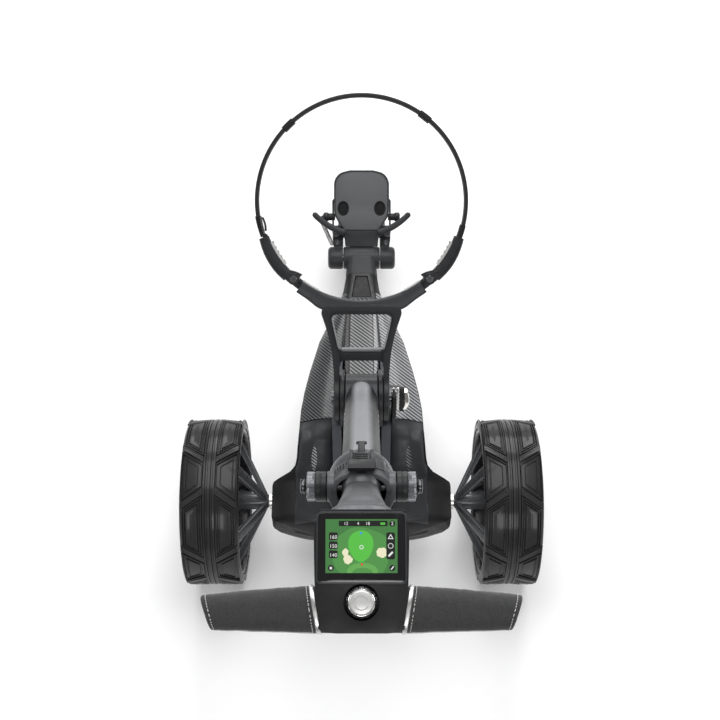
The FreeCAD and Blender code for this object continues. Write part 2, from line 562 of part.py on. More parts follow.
def pads():
    """Swinging pads at the ends of the cradle, with rubber insets, and the strap between them."""
    for side, word in ((1, "right"), (-1, "left")):
        arc = at(ring_arc("pad_arc_" + word, "ring_thick - 1", "ring_width - 2", 24), turn=side * 57.5)
        knuckle = post("pad_knuckle_" + word, "knuckle_radius", 0.4, "ring_width / 2", 0, "-screw_ring_radius")
        bar = block("pad_bar_" + word, (0, 20) if side > 0 else (-20, 0),
                    ("-ring_radius + 1", "-ring_radius + ring_thick - 1"), (0.4, "ring_width / 2 - 1"))
        hinge = at(fuse("pad_hinge_" + word, knuckle, bar), turn=side * SIZES["screw_angle"])
        tail = body("pad_tail_" + word)
        corners = [(-2, -152), (9, -150), (16, -140), (4, -134), (-6, -130)]
        pad(tail, "pad_tail_pad_" + word, "XY_Plane", [(side * a, b) for a, b in corners], 13)
        at(tail, 0, 0, 0.6, turn=side * SIZES["screw_angle"])
        hole = post("pad_hole_tool_" + word, "screw_radius + pin_clearance", -20, 20, 0, "-screw_ring_radius")
        hole = at(wrap("pad_hole_" + word, hole), turn=side * SIZES["screw_angle"])
        seat = at(ring_arc("pad_seat_" + word, 4, "ring_width - 10", 13, "ring_radius - ring_thick + 3"),
                  turn=side * 59)
        whole = fuse("pad_all_" + word, arc, hinge, tail)
        keep(cut("pad_" + word, whole, hole, seat), "swing_pad_" + word, "bag")
        inset = at(ring_arc("inset_" + word, 3.6, "ring_width - 11", 12.4, "ring_radius - ring_thick + 2.6"),
                   turn=side * 59)
        keep(inset, "pad_rubber_" + word, "bag")
    strap = at(ring_arc("strap_band", "strap_thick", "strap_width", 220), turn=180)
    keep(strap, "bag_strap", "bag")


def handle_neck():
    """Neck that pivots in the collar and widens up to the underside of the console."""
    neck = body("neck_stem")
    side = [(6, 8), (3, 24), (-20, 57.6), (-132, 57.6), (-132, 52), (-72, 48), (-46, 42), (-22, 24), (-10, 4)]
    pad(neck, "neck_stem_pad", "YZ_Plane", side, 28, middle=True)
    wing = body("neck_wings")
    pad(wing, "neck_wing_plan", "XY_Plane", mirrored([(14, -17), (36, -28), (42, -60), (36, -130)]), 5.6)
    at(wing, 0, 0, 52)
    hole = rod("neck_pin_hole", "handle_pin_radius + pin_clearance", -60, 60, 0, 0)
    whole = fuse("neck_all", neck, wing, ball("neck_ball", "ball_radius"))
    keep(cut("handle_neck", whole, hole), "handle_neck", "handle")


def console():
    case = body("console_case_body")
    half = [("console_half - 10", -12), ("console_half - 4", -17), ("console_half", -60),
            ("console_half - 3", -98), ("console_half + 1", -143), (40, -149)]
    pad(case, "console_plan", "XY_Plane", mirrored(half), 34)
    at(case, 0, 0, 58)
    recess = block("glass_recess", ("-glass_half - 0.2", "glass_half + 0.2"),
                   ("screen_y - glass_length / 2 - 0.2", "screen_y + glass_length / 2 + 0.2"), (89, 96))
    well = post("dial_well", "dial_radius + 1", 80, 100, 0, "dial_y")
    bore = post("dial_bore", 5, 75.5, 100, 0, "dial_y")
    notch = block("cover_notch", (-14.5, 14.5), (-152, -143.5), (60, 85.2))
    core = block("core_room", (-60, 60), ("grip_y - 9.1", "grip_y + 9.1"), (63.9, 74.1))
    keep(cut("console", case, recess, well, bore, notch, core), "console_case", "handle")
    glass = block("glass_block", ("-glass_half", "glass_half"),
                  ("screen_y - glass_length / 2", "screen_y + glass_length / 2"), (89.1, 92.2))
    keep(glass, "display_glass", "handle")
    cover = block("cover_block", (-13.5, 13.5), (-148.5, -144.5), (61, 83))
    hinge = rod("cover_hinge", 2, -13.5, 13.5, -146, 82)
    keep(fuse("cover_all", cover, hinge), "port_cover", "handle")


def dial():
    """Push-and-turn control: a stem that pushes in and a ring and cap that turn on it."""
    keep(post("stem_bar", "5 - pin_clearance", 77.5, 90, 0, "dial_y"), "dial_stem", "handle")
    ring = post("dial_ring_outer", "dial_radius", 83, 97, 0, "dial_y")
    hole = post("dial_ring_hole", 5, 60, 90.3, 0, "dial_y")
    seat = post("dial_ring_seat", "dial_cap_radius", 96, 110, 0, "dial_y")
    keep(cut("dial_ring", ring, hole, seat), "dial_ring", "handle")
    keep(post("cap_disc", "dial_cap_radius", 96, 98.5, 0, "dial_y"), "dial_cap", "handle")


def grips():
    """Two padded grips on a flat cross bar."""
    bar = block("grip_bar", (-150, 150), ("grip_y - 9", "grip_y + 9"), (64, 74))
    keep(bar, "grip_core", "handle")
    for side, word in ((1, "right"), (-1, "left")):
        grip = body("grip_" + word)
        plan = [("console_half + 1.5", -100), (104, -104), (140, -108.5), ("handle_half - 3", -112.5),
                ("handle_half", -115), ("handle_half - 10", -146), ("handle_half - 13", -148), (60, -149),
                ("console_half + 2", -149)]
        pad(grip, "grip_plan_" + word, "XY_Plane", [(f"{side} * ({a})", b) for a, b in plan], 30)
        at(grip, 0, 0, 62)
        room = block("grip_room_" + word, span(side, 30, 150.2), ("grip_y - 9.1", "grip_y + 9.1"), (63.9, 74.1))
        keep(cut("grip_cut_" + word, grip, room), "grip_" + word, "handle")


def write_subparts():
    """Stops on a feature that failed, and writes each sub-part to its own file."""
    doc.recompute()
    for feature in doc.Objects:
        if "Invalid" in feature.State or "Error" in feature.State:
            raise RuntimeError(f"{feature.Name}: {feature.State}")
    os.makedirs("parts", exist_ok=True)
    for subpart in SUBPARTS:
        if subpart.Shape.isNull() or not subpart.Shape.isValid() or subpart.Shape.Volume <= 0:
            raise RuntimeError(f"{subpart.Label}: no valid solid")
        subpart.Shape.exportStep(f"parts/{subpart.Label}.step")


chassis_tray()
bottom_cover()
spine_beam()
spine_strip()
tower_walls()
deck_panels()
drive()
main_pin()
neck_barrel()
latch()
battery_shelf()
battery()
rear_wheels()
front_unit()
bag_plate()
lower_arms()
front_wheel()
front_button()
shaft()
knobs()
clip_lever()
cradle()
pads()
handle_neck()
console()
dial()
grips()
write_subparts()
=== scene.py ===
import math

import bmesh
import bpy
from mathutils import Matrix, Vector, noise


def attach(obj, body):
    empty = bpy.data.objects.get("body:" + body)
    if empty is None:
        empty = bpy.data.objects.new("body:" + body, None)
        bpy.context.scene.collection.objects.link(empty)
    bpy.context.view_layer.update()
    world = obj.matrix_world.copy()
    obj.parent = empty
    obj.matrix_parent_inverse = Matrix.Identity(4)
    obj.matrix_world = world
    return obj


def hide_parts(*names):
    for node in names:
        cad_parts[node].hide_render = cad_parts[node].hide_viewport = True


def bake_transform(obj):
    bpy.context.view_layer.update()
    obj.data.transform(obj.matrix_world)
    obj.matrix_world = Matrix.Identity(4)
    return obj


# Looks of the electric golf trolley. Shapes are drawn in millimetres at the same stations as the
# parts they dress, with +Z up and +Y the way the trolley travels, then scaled to metres.

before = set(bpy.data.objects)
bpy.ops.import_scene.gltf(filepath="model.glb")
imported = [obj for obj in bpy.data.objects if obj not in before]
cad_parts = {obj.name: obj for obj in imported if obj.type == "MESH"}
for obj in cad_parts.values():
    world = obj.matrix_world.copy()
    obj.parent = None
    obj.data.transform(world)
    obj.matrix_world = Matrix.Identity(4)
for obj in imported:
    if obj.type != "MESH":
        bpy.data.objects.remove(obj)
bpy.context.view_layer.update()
MM = 0.001
AXLE_Y = -120.5
TUBE = 452.6
SIDES = ((1, "right"), (-1, "left"))


def station(ahead, height, lean=0.0):
    """A frame on the middle plane, ahead of the rear axle and above the floor, leaned back in degrees."""
    place = Matrix.Translation((0, (AXLE_Y + ahead) * MM, height * MM))
    return place @ Matrix.Rotation(math.radians(lean), 4, "X") @ Matrix.Scale(MM, 4)


TUBE_LEAN = math.radians(40.93)
HINGE = (15.5 - TUBE * math.sin(TUBE_LEAN), 485 + TUBE * math.cos(TUBE_LEAN))
GROUND = station(0, 0)
AXLE = station(0, 140)
PIVOT = station(15.5, 485)
SHAFT = station(15.5, 485, 40.93)
CRADLE = station(15.5, 485, 58.1)
BAG = station(213, 697, 36.3)
PLATE = station(575, 214, 36.3)
BARREL = station(496, 150)
DECK = station(470, 165, -13.2)
FRONT_AXLE = station(601, 95)
HANDLE = station(HINGE[0], HINGE[1], 25)


# ---------------------------------------------------------------- materials

def material(name):
    """A new node material, with its tree, its shader and the object's own coordinates."""
    made = bpy.data.materials.new(name)
    made.use_nodes = True
    nodes = made.node_tree.nodes
    shader = nodes["Principled BSDF"]
    where = nodes.new("ShaderNodeTexCoord").outputs["Object"]
    return made, made.node_tree, shader, where


def add(tree, kind, **inputs):
    """A shader node with its inputs set. A value that is another node's output is linked."""
    node = tree.nodes.new(kind)
    for key, value in inputs.items():
        socket = node.inputs[key.replace("_", " ")]
        if hasattr(value, "is_output"):
            tree.links.new(value, socket)
        else:
            socket.default_value = value
    return node


def noise_value(tree, where, scale, detail=4.0, stretch=None):
    """Noise over the object's own coordinates, stretched along an axis if asked."""
    if stretch:
        where = add(tree, "ShaderNodeMapping", Vector=where, Scale=stretch).outputs["Vector"]
    return add(tree, "ShaderNodeTexNoise", Vector=where, Scale=scale, Detail=detail).outputs["Fac"]


def math_value(tree, operation, first, second=0.0):
    """One operation on two values, each a number or another node's output."""
    node = tree.nodes.new("ShaderNodeMath")
    node.operation = operation
    for index, value in enumerate((first, second)):
        if hasattr(value, "is_output"):
            tree.links.new(value, node.inputs[index])
        else:
            node.inputs[index].default_value = value
    return node.outputs[0]


def spread(tree, value, low, high, start=0.0, end=1.0):
    """Maps the span from start to end onto low to high."""
    node = add(tree, "ShaderNodeMapRange", Value=value, To_Min=low, To_Max=high, From_Min=start,
               From_Max=end)
    return node.outputs["Result"]


def mixed(tree, share, first, second):
    """A blend of two colours by share."""
    node = tree.nodes.new("ShaderNodeMix")
    node.data_type = "RGBA"
    tree.links.new(share, node.inputs["Factor"])
    for socket, colour in ((node.inputs[6], first), (node.inputs[7], second)):
        if hasattr(colour, "is_output"):
            tree.links.new(colour, socket)
        else:
            socket.default_value = (*colour, 1)
    return node.outputs[2]


def bump(tree, shader, height, strength, distance=0.001):
    """Gives the shader a fine relief."""
    node = add(tree, "ShaderNodeBump", Height=height, Strength=strength, Distance=distance)
    tree.links.new(node.outputs["Normal"], shader.inputs["Normal"])


def moulded(name, colour, rough, grain=900.0, strength=0.12, coat=0.0, metallic=0.0):
    """Satin moulding or powder coat: fine grain, faint clouding and handling marks."""
    made, tree, shader, where = material(name)
    clouds = noise_value(tree, where, 14.0)
    dust = noise_value(tree, where, 130.0, 6.0)
    light = tuple(min(1.0, c * 1.25 + 0.004) for c in colour)
    dark = tuple(c * 0.82 for c in colour)
    tree.links.new(mixed(tree, clouds, dark, light), shader.inputs["Base Color"])
    tree.links.new(spread(tree, dust, rough - 0.07, rough + 0.09, 0.3, 0.7), shader.inputs["Roughness"])
    shader.inputs["Metallic"].default_value = metallic
    shader.inputs["Coat Weight"].default_value = coat
    shader.inputs["Coat Roughness"].default_value = 0.12
    shader.inputs["Specular IOR Level"].default_value = 0.26
    bump(tree, shader, noise_value(tree, where, grain, 3.0), strength, 0.0004)
    return made


def highlight_painted_tube(name, edge, middle, rough):
    """Satin tube with a painted highlight: lighter along the middle of the tube than at its sides, with
    painted shade at the sides.
    """
    made, tree, shader, where = material(name)
    across = add(tree, "ShaderNodeSeparateXYZ", Vector=where).outputs[0]
    # Painted highlight: band is 1 along the tube's middle and 0 at its sides, so the middle colour is
    # painted light and the edge colour painted shade.
    band = spread(tree, math_value(tree, "ABSOLUTE", across), 1.0, 0.0, 0.0075, 0.0155)
    clouds = noise_value(tree, where, 30.0)
    shade = math_value(tree, "MULTIPLY", band, spread(tree, clouds, 0.92, 1.0))
    tree.links.new(mixed(tree, shade, edge, middle), shader.inputs["Base Color"])
    tree.links.new(spread(tree, clouds, rough - 0.04, rough + 0.05, 0.3, 0.7), shader.inputs["Roughness"])
    shader.inputs["Specular IOR Level"].default_value = 0.16
    bump(tree, shader, noise_value(tree, where, 900.0), 0.02, 0.0002)
    return made


def carbon(name, dark, bright, rough=0.34, pitch=5.6, thin=0.0):
    """Carbon-look panel: straight raised ribs running down to the right."""
    made, tree, shader, where = material(name)
    across, along, up = add(tree, "ShaderNodeSeparateXYZ", Vector=where).outputs
    lean = math_value(tree, "ADD", math_value(tree, "MULTIPLY", across, 0.75),
                      math_value(tree, "MULTIPLY", along, 0.866))
    lean = math_value(tree, "ADD", lean, math_value(tree, "MULTIPLY", up, 0.5))
    turns = math_value(tree, "MULTIPLY", lean, 2 * math.pi / (pitch * MM))
    rib = spread(tree, math_value(tree, "SINE", turns), 0.0, 1.0, thin - 0.35, 0.6 + thin * 0.5)
    shade = math_value(tree, "MULTIPLY", rib, spread(tree, noise_value(tree, where, 45.0, 4.0), 0.82,
                                                     1.0))
    tree.links.new(mixed(tree, shade, dark, bright), shader.inputs["Base Color"])
    gloss = spread(tree, noise_value(tree, where, 90.0), rough - 0.05, rough + 0.07)
    tree.links.new(gloss, shader.inputs["Roughness"])
    shader.inputs["Coat Weight"].default_value = 0.25 if rough < 0.5 else 0.0
    shader.inputs["Coat Roughness"].default_value = 0.2
    shader.inputs["Specular IOR Level"].default_value = 0.3
    bump(tree, shader, rib, 0.6, 0.0008)
    return made


def tyre_rubber(name, rough):
    """Dull black rubber, slightly cloudy."""
    made, tree, shader, where = material(name)
    marks = noise_value(tree, where, 60.0, 8.0)
    tree.links.new(mixed(tree, marks, (0.007, 0.007, 0.0075), (0.016, 0.016, 0.0165)),
                   shader.inputs["Base Color"])
    tree.links.new(spread(tree, noise_value(tree, where, 25.0, 6.0), rough - 0.08, rough + 0.12),
                   shader.inputs["Roughness"])
    shader.inputs["Coat Weight"].default_value = 0.3
    shader.inputs["Coat Roughness"].default_value = 0.14
    shader.inputs["Specular IOR Level"].default_value = 0.3
    bump(tree, shader, noise_value(tree, where, 700.0, 3.0), 0.2, 0.0005)
    return made


def metal(name, colour, rough, stretch=(1, 40, 40), scale=60.0, strength=0.08):
    """Turned or brushed metal, its marks running along the axis with the small stretch."""
    made, tree, shader, where = material(name)
    lines = noise_value(tree, where, scale, 5.0, stretch)
    shader.inputs["Metallic"].default_value = 1.0
    tree.links.new(mixed(tree, lines, tuple(c * 0.85 for c in colour), colour),
                   shader.inputs["Base Color"])
    tree.links.new(spread(tree, lines, rough * 0.7, rough * 1.4, 0.3, 0.7), shader.inputs["Roughness"])
    bump(tree, shader, lines, strength, 0.0003)
    return made


def leather(name):
    """Grip leather with a fine grain of small cells."""
    made, tree, shader, where = material(name)
    cells = add(tree, "ShaderNodeTexVoronoi", Vector=where, Scale=620.0)
    cells.feature = "DISTANCE_TO_EDGE"
    edge = spread(tree, cells.outputs["Distance"], 0.0, 1.0, 0.0, 0.25)
    soft = noise_value(tree, where, 38.0, 6.0)
    tone = mixed(tree, soft, (0.014, 0.014, 0.015), (0.044, 0.0445, 0.047))
    worn = mixed(tree, edge, (0.008, 0.008, 0.0085), tone)
    tree.links.new(worn, shader.inputs["Base Color"])
    tree.links.new(spread(tree, soft, 0.42, 0.62, 0.3, 0.7), shader.inputs["Roughness"])
    height = math_value(tree, "ADD", edge, math_value(tree, "MULTIPLY", soft, 1.6))
    bump(tree, shader, height, 0.5, 0.0006)
    shader.inputs["Sheen Weight"].default_value = 0.15
    return made


def smoked(name):
    """Smoked plastic with a slight haze."""
    made, tree, shader, where = material(name)
    haze = noise_value(tree, where, 300.0, 4.0)
    tree.links.new(mixed(tree, haze, (0.17, 0.18, 0.195), (0.24, 0.25, 0.27)),
                   shader.inputs["Base Color"])
    tree.links.new(spread(tree, haze, 0.03, 0.08), shader.inputs["Roughness"])
    shader.inputs["Transmission Weight"].default_value = 0.35
    shader.inputs["IOR"].default_value = 1.49
    bump(tree, shader, haze, 0.02, 0.0002)
    return made


def screen_glass(name):
    """Dark display glass with faint smudges."""
    made, tree, shader, where = material(name)
    smudge = noise_value(tree, where, 45.0, 5.0)
    tree.links.new(mixed(tree, smudge, (0.006, 0.006, 0.007), (0.012, 0.012, 0.013)),
                   shader.inputs["Base Color"])
    tree.links.new(spread(tree, smudge, 0.05, 0.16, 0.35, 0.7), shader.inputs["Roughness"])
    return made


def lit(name, colour, strength=1.0):
    """Part of the lit picture, with the faint grid of its cells."""
    made, tree, shader, where = material(name)
    cells = add(tree, "ShaderNodeTexVoronoi", Vector=where, Scale=2600.0).outputs["Distance"]
    tone = mixed(tree, cells, colour, tuple(c * 0.86 for c in colour))
    tree.links.new(tone, shader.inputs["Emission Color"])
    shader.inputs["Emission Strength"].default_value = strength
    shader.inputs["Base Color"].default_value = (0.01, 0.01, 0.01, 1)
    shader.inputs["Roughness"].default_value = 0.25
    return made


def thread(name):
    """Pale seam thread."""
    made, tree, shader, where = material(name)
    twist = noise_value(tree, where, 1800.0, 3.0)
    tree.links.new(mixed(tree, twist, (0.5, 0.5, 0.48), (0.85, 0.85, 0.82)), shader.inputs["Base Color"])
    shader.inputs["Roughness"].default_value = 0.8
    bump(tree, shader, twist, 0.6, 0.0004)
    return made


SHELL = moulded("shell", (0.010, 0.0102, 0.011), 0.42)
SHELL_GREY = moulded("shell_grey", (0.032, 0.033, 0.036), 0.38)
FRAME = moulded("frame", (0.015, 0.0155, 0.017), 0.4)
LEDGE = moulded("ledge", (0.27, 0.275, 0.28), 0.4)
RAIL = moulded("rail", (0.05, 0.055, 0.064), 0.42)
# Painted highlight: the tube's colour is lighter along its middle than at its sides, standing in for
# light on a round tube.
TUBE_PAINTED_HIGHLIGHT = highlight_painted_tube("graphite_painted_highlight", (0.014, 0.0145, 0.016), (0.25, 0.255, 0.268), 0.42)
COLLAR = moulded("collar", (0.085, 0.087, 0.092), 0.38, metallic=0.35)
BLACK = moulded("black", (0.005, 0.005, 0.0055), 0.5)
GLOSS = moulded("gloss", (0.008, 0.008, 0.009), 0.26, coat=0.25)
SPOKE = moulded("spoke", (0.075, 0.077, 0.082), 0.3, coat=0.15, metallic=0.3)
PLATE_GREY = moulded("plate_grey", (0.105, 0.108, 0.112), 0.5)
BLACK_CHROME = metal("black_chrome", (0.055, 0.055, 0.06), 0.26, strength=0.01)
# Painted shade: dark copy of the deck carbon, for the left deck panel.
CARBON_DECK_PAINTED_SHADE = carbon("carbon", (0.003, 0.003, 0.0032), (0.105, 0.108, 0.114))
# Painted light: bright copy of the same carbon, for the right deck panel and the right spine flank.
CARBON_PAINTED_LIT = carbon("carbon_painted_lit", (0.045, 0.046, 0.049), (0.36, 0.365, 0.38))
CARBON_STRIP = carbon("carbon_strip", (0.002, 0.002, 0.002), (0.3, 0.304, 0.315), thin=0.45)
# Painted shade: dark copy of the carbon, for the left spine flank.
CARBON_FLANK_PAINTED_SHADE = carbon("carbon_flank_painted_shade", (0.004, 0.004, 0.0042), (0.04, 0.041, 0.043), 0.55)
DECAL = carbon("decal", (0.03, 0.03, 0.032), (0.42, 0.43, 0.45), 0.4, 5.4)
DECAL_DARK = carbon("decal_dark", (0.004, 0.004, 0.004), (0.15, 0.15, 0.158), 0.4, 5.4)
TYRE = tyre_rubber("tyre", 0.5)
RUBBER = moulded("rubber", (0.42, 0.42, 0.41), 0.75, 500.0, 0.3)
STRAP = moulded("strap", (0.012, 0.012, 0.013), 0.48, 700.0, 0.2)
STEEL = metal("steel", (0.72, 0.71, 0.68), 0.28)
GUNMETAL = metal("gunmetal", (0.11, 0.112, 0.118), 0.3)
CHROME = metal("chrome", (0.9, 0.88, 0.84), 0.09, strength=0.02)
SPUN = moulded("spun", (0.6, 0.597, 0.585), 0.36, 600.0, 0.008, metallic=0.5)
TRIM = metal("trim", (0.68, 0.68, 0.67), 0.34, (6, 1, 6), 40.0, 0.03)
LEATHER = leather("leather")
CLEAR = smoked("clear")
GLASS = screen_glass("glass")
THREAD = thread("thread")


# ---------------------------------------------------------------- shapes

def faceted(rings, closed=True, caps=True):
    """A skin over rings of points; closed rings join end to start."""
    bm = bmesh.new()
    rows = [[bm.verts.new(point) for point in ring] for ring in rings]
    count = len(rows[0])
    for first, second in zip(rows, rows[1:]):
        for index in range(count if closed else count - 1):
            after = (index + 1) % count
            bm.faces.new((first[index], first[after], second[after], second[index]))
    if caps:
        bm.faces.new(rows[0][::-1])
        bm.faces.new(rows[-1])
    bmesh.ops.recalc_face_normals(bm, faces=bm.faces)
    return bm


def lathe(profile, axis="X", steps=72, loop=True, start=0.0, end=360.0, shift=(0, 0, 0)):
    """Turns (along, radius) points about an axis. loop joins the profile's end to its start."""
    full = end - start >= 360
    rings = []
    for step in range(steps + (0 if full else 1)):
        angle = math.radians(start + (end - start) * step / steps)
        ring = []
        for along, radius in profile:
            a, b = radius * math.cos(angle), radius * math.sin(angle)
            point = {"X": (along, a, b), "Z": (a, b, along), "Y": (a, along, b)}[axis]
            ring.append(Vector(point) + Vector(shift))
        rings.append(ring)
    if full:
        rings.append(rings[0])
    bm = faceted(rings, loop, not full)
    bmesh.ops.remove_doubles(bm, verts=bm.verts, dist=0.001)
    bmesh.ops.recalc_face_normals(bm, faces=bm.faces)
    return bm


def rounded(points, steps=6):
    """A closed outline with its corners rounded: (x, y, radius) each."""
    out = []
    for index, (x, y, radius) in enumerate(points):
        here = Vector((x, y))
        back = Vector(points[index - 1][:2]) - here
        ahead = Vector(points[(index + 1) % len(points)][:2]) - here
        reach = min(radius, back.length * 0.49, ahead.length * 0.49)
        if reach <= 0:
            out.append(here)
            continue
        first, last = here + back.normalized() * reach, here + ahead.normalized() * reach
        for step in range(steps + 1):
            share = step / steps
            out.append(first.lerp(here, share).lerp(here.lerp(last, share), share))
    return out


def slab(points, low, high, plane="XY", holes=()):
    """A flat outline with holes, given thickness. plane says which axes the outline lies in."""
    bm = bmesh.new()
    edges = []
    for loop in (points, *holes):
        verts = [bm.verts.new((p[0], p[1], low)) for p in loop]
        edges += [bm.edges.new((a, b)) for a, b in zip(verts, verts[1:] + verts[:1])]
    bmesh.ops.triangle_fill(bm, edges=edges, use_beauty=True, use_dissolve=bool(not holes))
    made = bmesh.ops.extrude_face_region(bm, geom=bm.faces[:])
    top = [item for item in made["geom"] if isinstance(item, bmesh.types.BMVert)]
    bmesh.ops.translate(bm, verts=top, vec=(0, 0, high - low))
    if plane == "YZ":
        bm.transform(Matrix(((0, 0, 1, 0), (1, 0, 0, 0), (0, 1, 0, 0), (0, 0, 0, 1))))
    if plane == "XZ":
        bm.transform(Matrix(((1, 0, 0, 0), (0, 0, 1, 0), (0, 1, 0, 0), (0, 0, 0, 1))))
    bmesh.ops.recalc_face_normals(bm, faces=bm.faces)
    return bm


def brick(x, y, z):
    """A block between two bounds on each axis."""
    return slab([(x[0], y[0]), (x[1], y[0]), (x[1], y[1]), (x[0], y[1])], z[0], z[1])


def section(width, height, power=2.6, count=32):
    """A rounded cross-section: power 2 is an ellipse, more is squarer."""
    out = []
    for step in range(count):
        angle = 2 * math.pi * step / count
        c, s = math.cos(angle), math.sin(angle)
        out.append((math.copysign(abs(c) ** (2 / power), c) * width / 2,
                    math.copysign(abs(s) ** (2 / power), s) * height / 2))
    return out


def ring_sweep(radius, start, end, size, steps=64, power=4.0):
    """A band along the bag ring; size gives its (radial, axial) size at each share of the way."""
    rings = []
    for step in range(steps + 1):
        share = step / steps
        angle = math.radians(start + (end - start) * share)
        thick, wide, drift = size(share)
        ring = []
        for a, b in section(thick, wide, power, 24):
            r = radius + a + drift
            ring.append(Vector((r * math.cos(angle), r * math.sin(angle), b)))
        rings.append(ring)
    return faceted(rings)


def join(*shapes):
    """Several shapes as one. The given ones are used up."""
    whole = bmesh.new()
    for shape in shapes:
        held = bpy.data.meshes.new("held")
        shape.to_mesh(held)
        shape.free()
        whole.from_mesh(held)
        bpy.data.meshes.remove(held)
    return whole


def moved(bm, matrix):
    """The shape carried through a matrix."""
    bm.transform(matrix)
    return bm


def flipped(bm):
    """The left-hand copy of a right-hand shape."""
    bm.transform(Matrix.Scale(-1, 4, (1, 0, 0)))
    bmesh.ops.reverse_faces(bm, faces=bm.faces)
    return bm


def piece(name, bm, place, look, body, replaces=(), bevel=0.0, segments=3, smooth=True,
          subdivide=0, angle=35):
    """Puts a shape at its station, rounds its edges and fixes it to a moving body."""
    bm.transform(place)
    mesh = bpy.data.meshes.new(name)
    bm.to_mesh(mesh)
    bm.free()
    shown = bpy.data.objects.new(name, mesh)
    bpy.context.scene.collection.objects.link(shown)
    mesh.materials.append(look)
    if bevel:
        edge = shown.modifiers.new("edge", "BEVEL")
        edge.width = bevel * MM
        edge.segments = segments
        edge.limit_method = "ANGLE"
        edge.angle_limit = math.radians(angle)
        edge.harden_normals = False
    if subdivide:
        fine = shown.modifiers.new("fine", "SUBSURF")
        fine.levels = fine.render_levels = subdivide
    if bevel or subdivide:
        graph = bpy.context.evaluated_depsgraph_get()
        baked = bpy.data.meshes.new_from_object(shown.evaluated_get(graph))
        shown.modifiers.clear()
        shown.data = baked
    if smooth:
        shown.data.shade_smooth()
        shown.data.set_sharp_from_angle(angle=math.radians(40))
    if body:
        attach(shown, body)
    if replaces:
        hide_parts(*([replaces] if isinstance(replaces, str) else replaces))
    return shown


def spline(before, start, end, after, share):
    """Smooth curve through four values, between the middle two."""
    return 0.5 * (2 * start + (end - before) * share
                  + (2 * before - 5 * start + 4 * end - after) * share ** 2
                  + (3 * start - before - 3 * end + after) * share ** 3)


def blend_value(table, at):
    """Smooth reading between the rows of a (key, value) table."""
    rows = sorted(table)
    if at <= rows[0][0]:
        return rows[0][1]
    for (a, low), (b, high) in zip(rows, rows[1:]):
        if at <= b:
            share = (at - a) / (b - a)
            return low + (high - low) * share
    return rows[-1][1]


# ---------------------------------------------------------------- chassis

HALF_WIDTH = [(-64, 60), (-60, 84), (-52, 118), (-43, 146), (-37, 151), (18, 151), (23, 149), (28, 138),
              (34, 122), (42, 112), (52, 109), (95, 104), (130, 102.5), (168, 98), (217, 89.5), (285, 75),
              (328, 60), (375, 42.5), (395, 36), (410, 33), (440, 29.5), (470, 28)]
TOP_EDGE = [(-64, 150), (-57, 166), (-46, 174), (22, 183), (32, 197), (48, 214), (66, 232), (84, 244),
            (99, 251), (470, 164)]
FLOOR_EDGE = [(-64, 128), (-58, 103), (60, 101), (300, 113), (470, 131)]


def deck_height(x, y):
    """Height of the shell's top: it rounds off towards its sides."""
    half = blend_value(HALF_WIDTH, y)
    out = min(1.0, abs(x) / half)
    drop = 16 * max(0.0, out - 0.55) ** 2 / 0.2025 * min(1.0, half / 60)
    return blend_value(TOP_EDGE, y) - drop


def chassis_shell():
    """Tapering shell from the rear lip to the nose."""
    rings = []
    for step in range(136):
        y = -64 + 534 * step / 135
        half, floor = blend_value(HALF_WIDTH, y), blend_value(FLOOR_EDGE, y)
        top = [(half * (1 - 2 * s / 28), deck_height(half * (1 - 2 * s / 28), y)) for s in range(29)]
        skirt = deck_height(half, y)
        right = [(half * 0.86, floor), (half * 0.97, floor + 5), (half, floor + 14), (half, skirt - 4)]
        left = [(-half, skirt - 4), (-half, floor + 14), (-half * 0.97, floor + 5), (-half * 0.86, floor)]
        rings.append([Vector((x, y, z)) for x, z in right + top + left])
    shell = faceted(rings)
    piece("chassis_shell", shell, GROUND, SHELL, "chassis", ("chassis_tray", "bottom_cover"))
    lip = []
    for step in range(61):
        x = -112 + 224 * step / 60
        y = -66 + 0.0011 * x * x
        lip.append([Vector((x, y + a, 131 + b)) for a, b in section(6, 8, 3, 12)])
    piece("rear_lip", faceted(lip), GROUND, SHELL_GREY, "chassis")


def deck_patch(name, inner, outer, front, rear, lift, look, side, columns=16, rows=70, thick=2.4):
    """A panel that follows the shell between two half widths, standing a little proud of it."""
    top = []
    for row in range(rows + 1):
        y = front + (rear - front) * row / rows
        near, far = inner(y), outer(y)
        line, low = [], []
        for column in range(columns + 1):
            x = near + (far - near) * column / columns
            height = deck_height(x, y)
            line.append(Vector((side * x, y, height + lift)))
            low.append(Vector((side * x, y, height + lift - thick)))
        top.append(line + low[::-1])
    bm = faceted(top)
    return piece(name, bm, GROUND, look, "chassis", bevel=0.5, segments=2)


def cover_height(x, y):
    """Top of a rear cover: a low swell with a soft ridge, fading out at its ends."""
    near, far = 47.5, blend_value(HALF_WIDTH, min(99, max(y, 40))) - 3
    share = min(1.0, max(0.0, (abs(x) - near) / (far - near)))
    row = (99 - y) * 59 / 150
    ends = max(0.0, min(1.0, row / 12, (59 - row) / 14))
    ends = ends * ends * (3 - 2 * ends)
    top = 9.5 * math.sin(math.pi * min(1, max(0, (98 - y) / 196 + 0.18)))
    swell = math.sin(math.pi * share) ** 0.35 if 0 < share < 1 else 0.0
    ridge = 1.6 * math.exp(-((share - 0.62) / 0.16) ** 2)
    return deck_height(x, y) + 0.6 + (top * swell + ridge) * ends


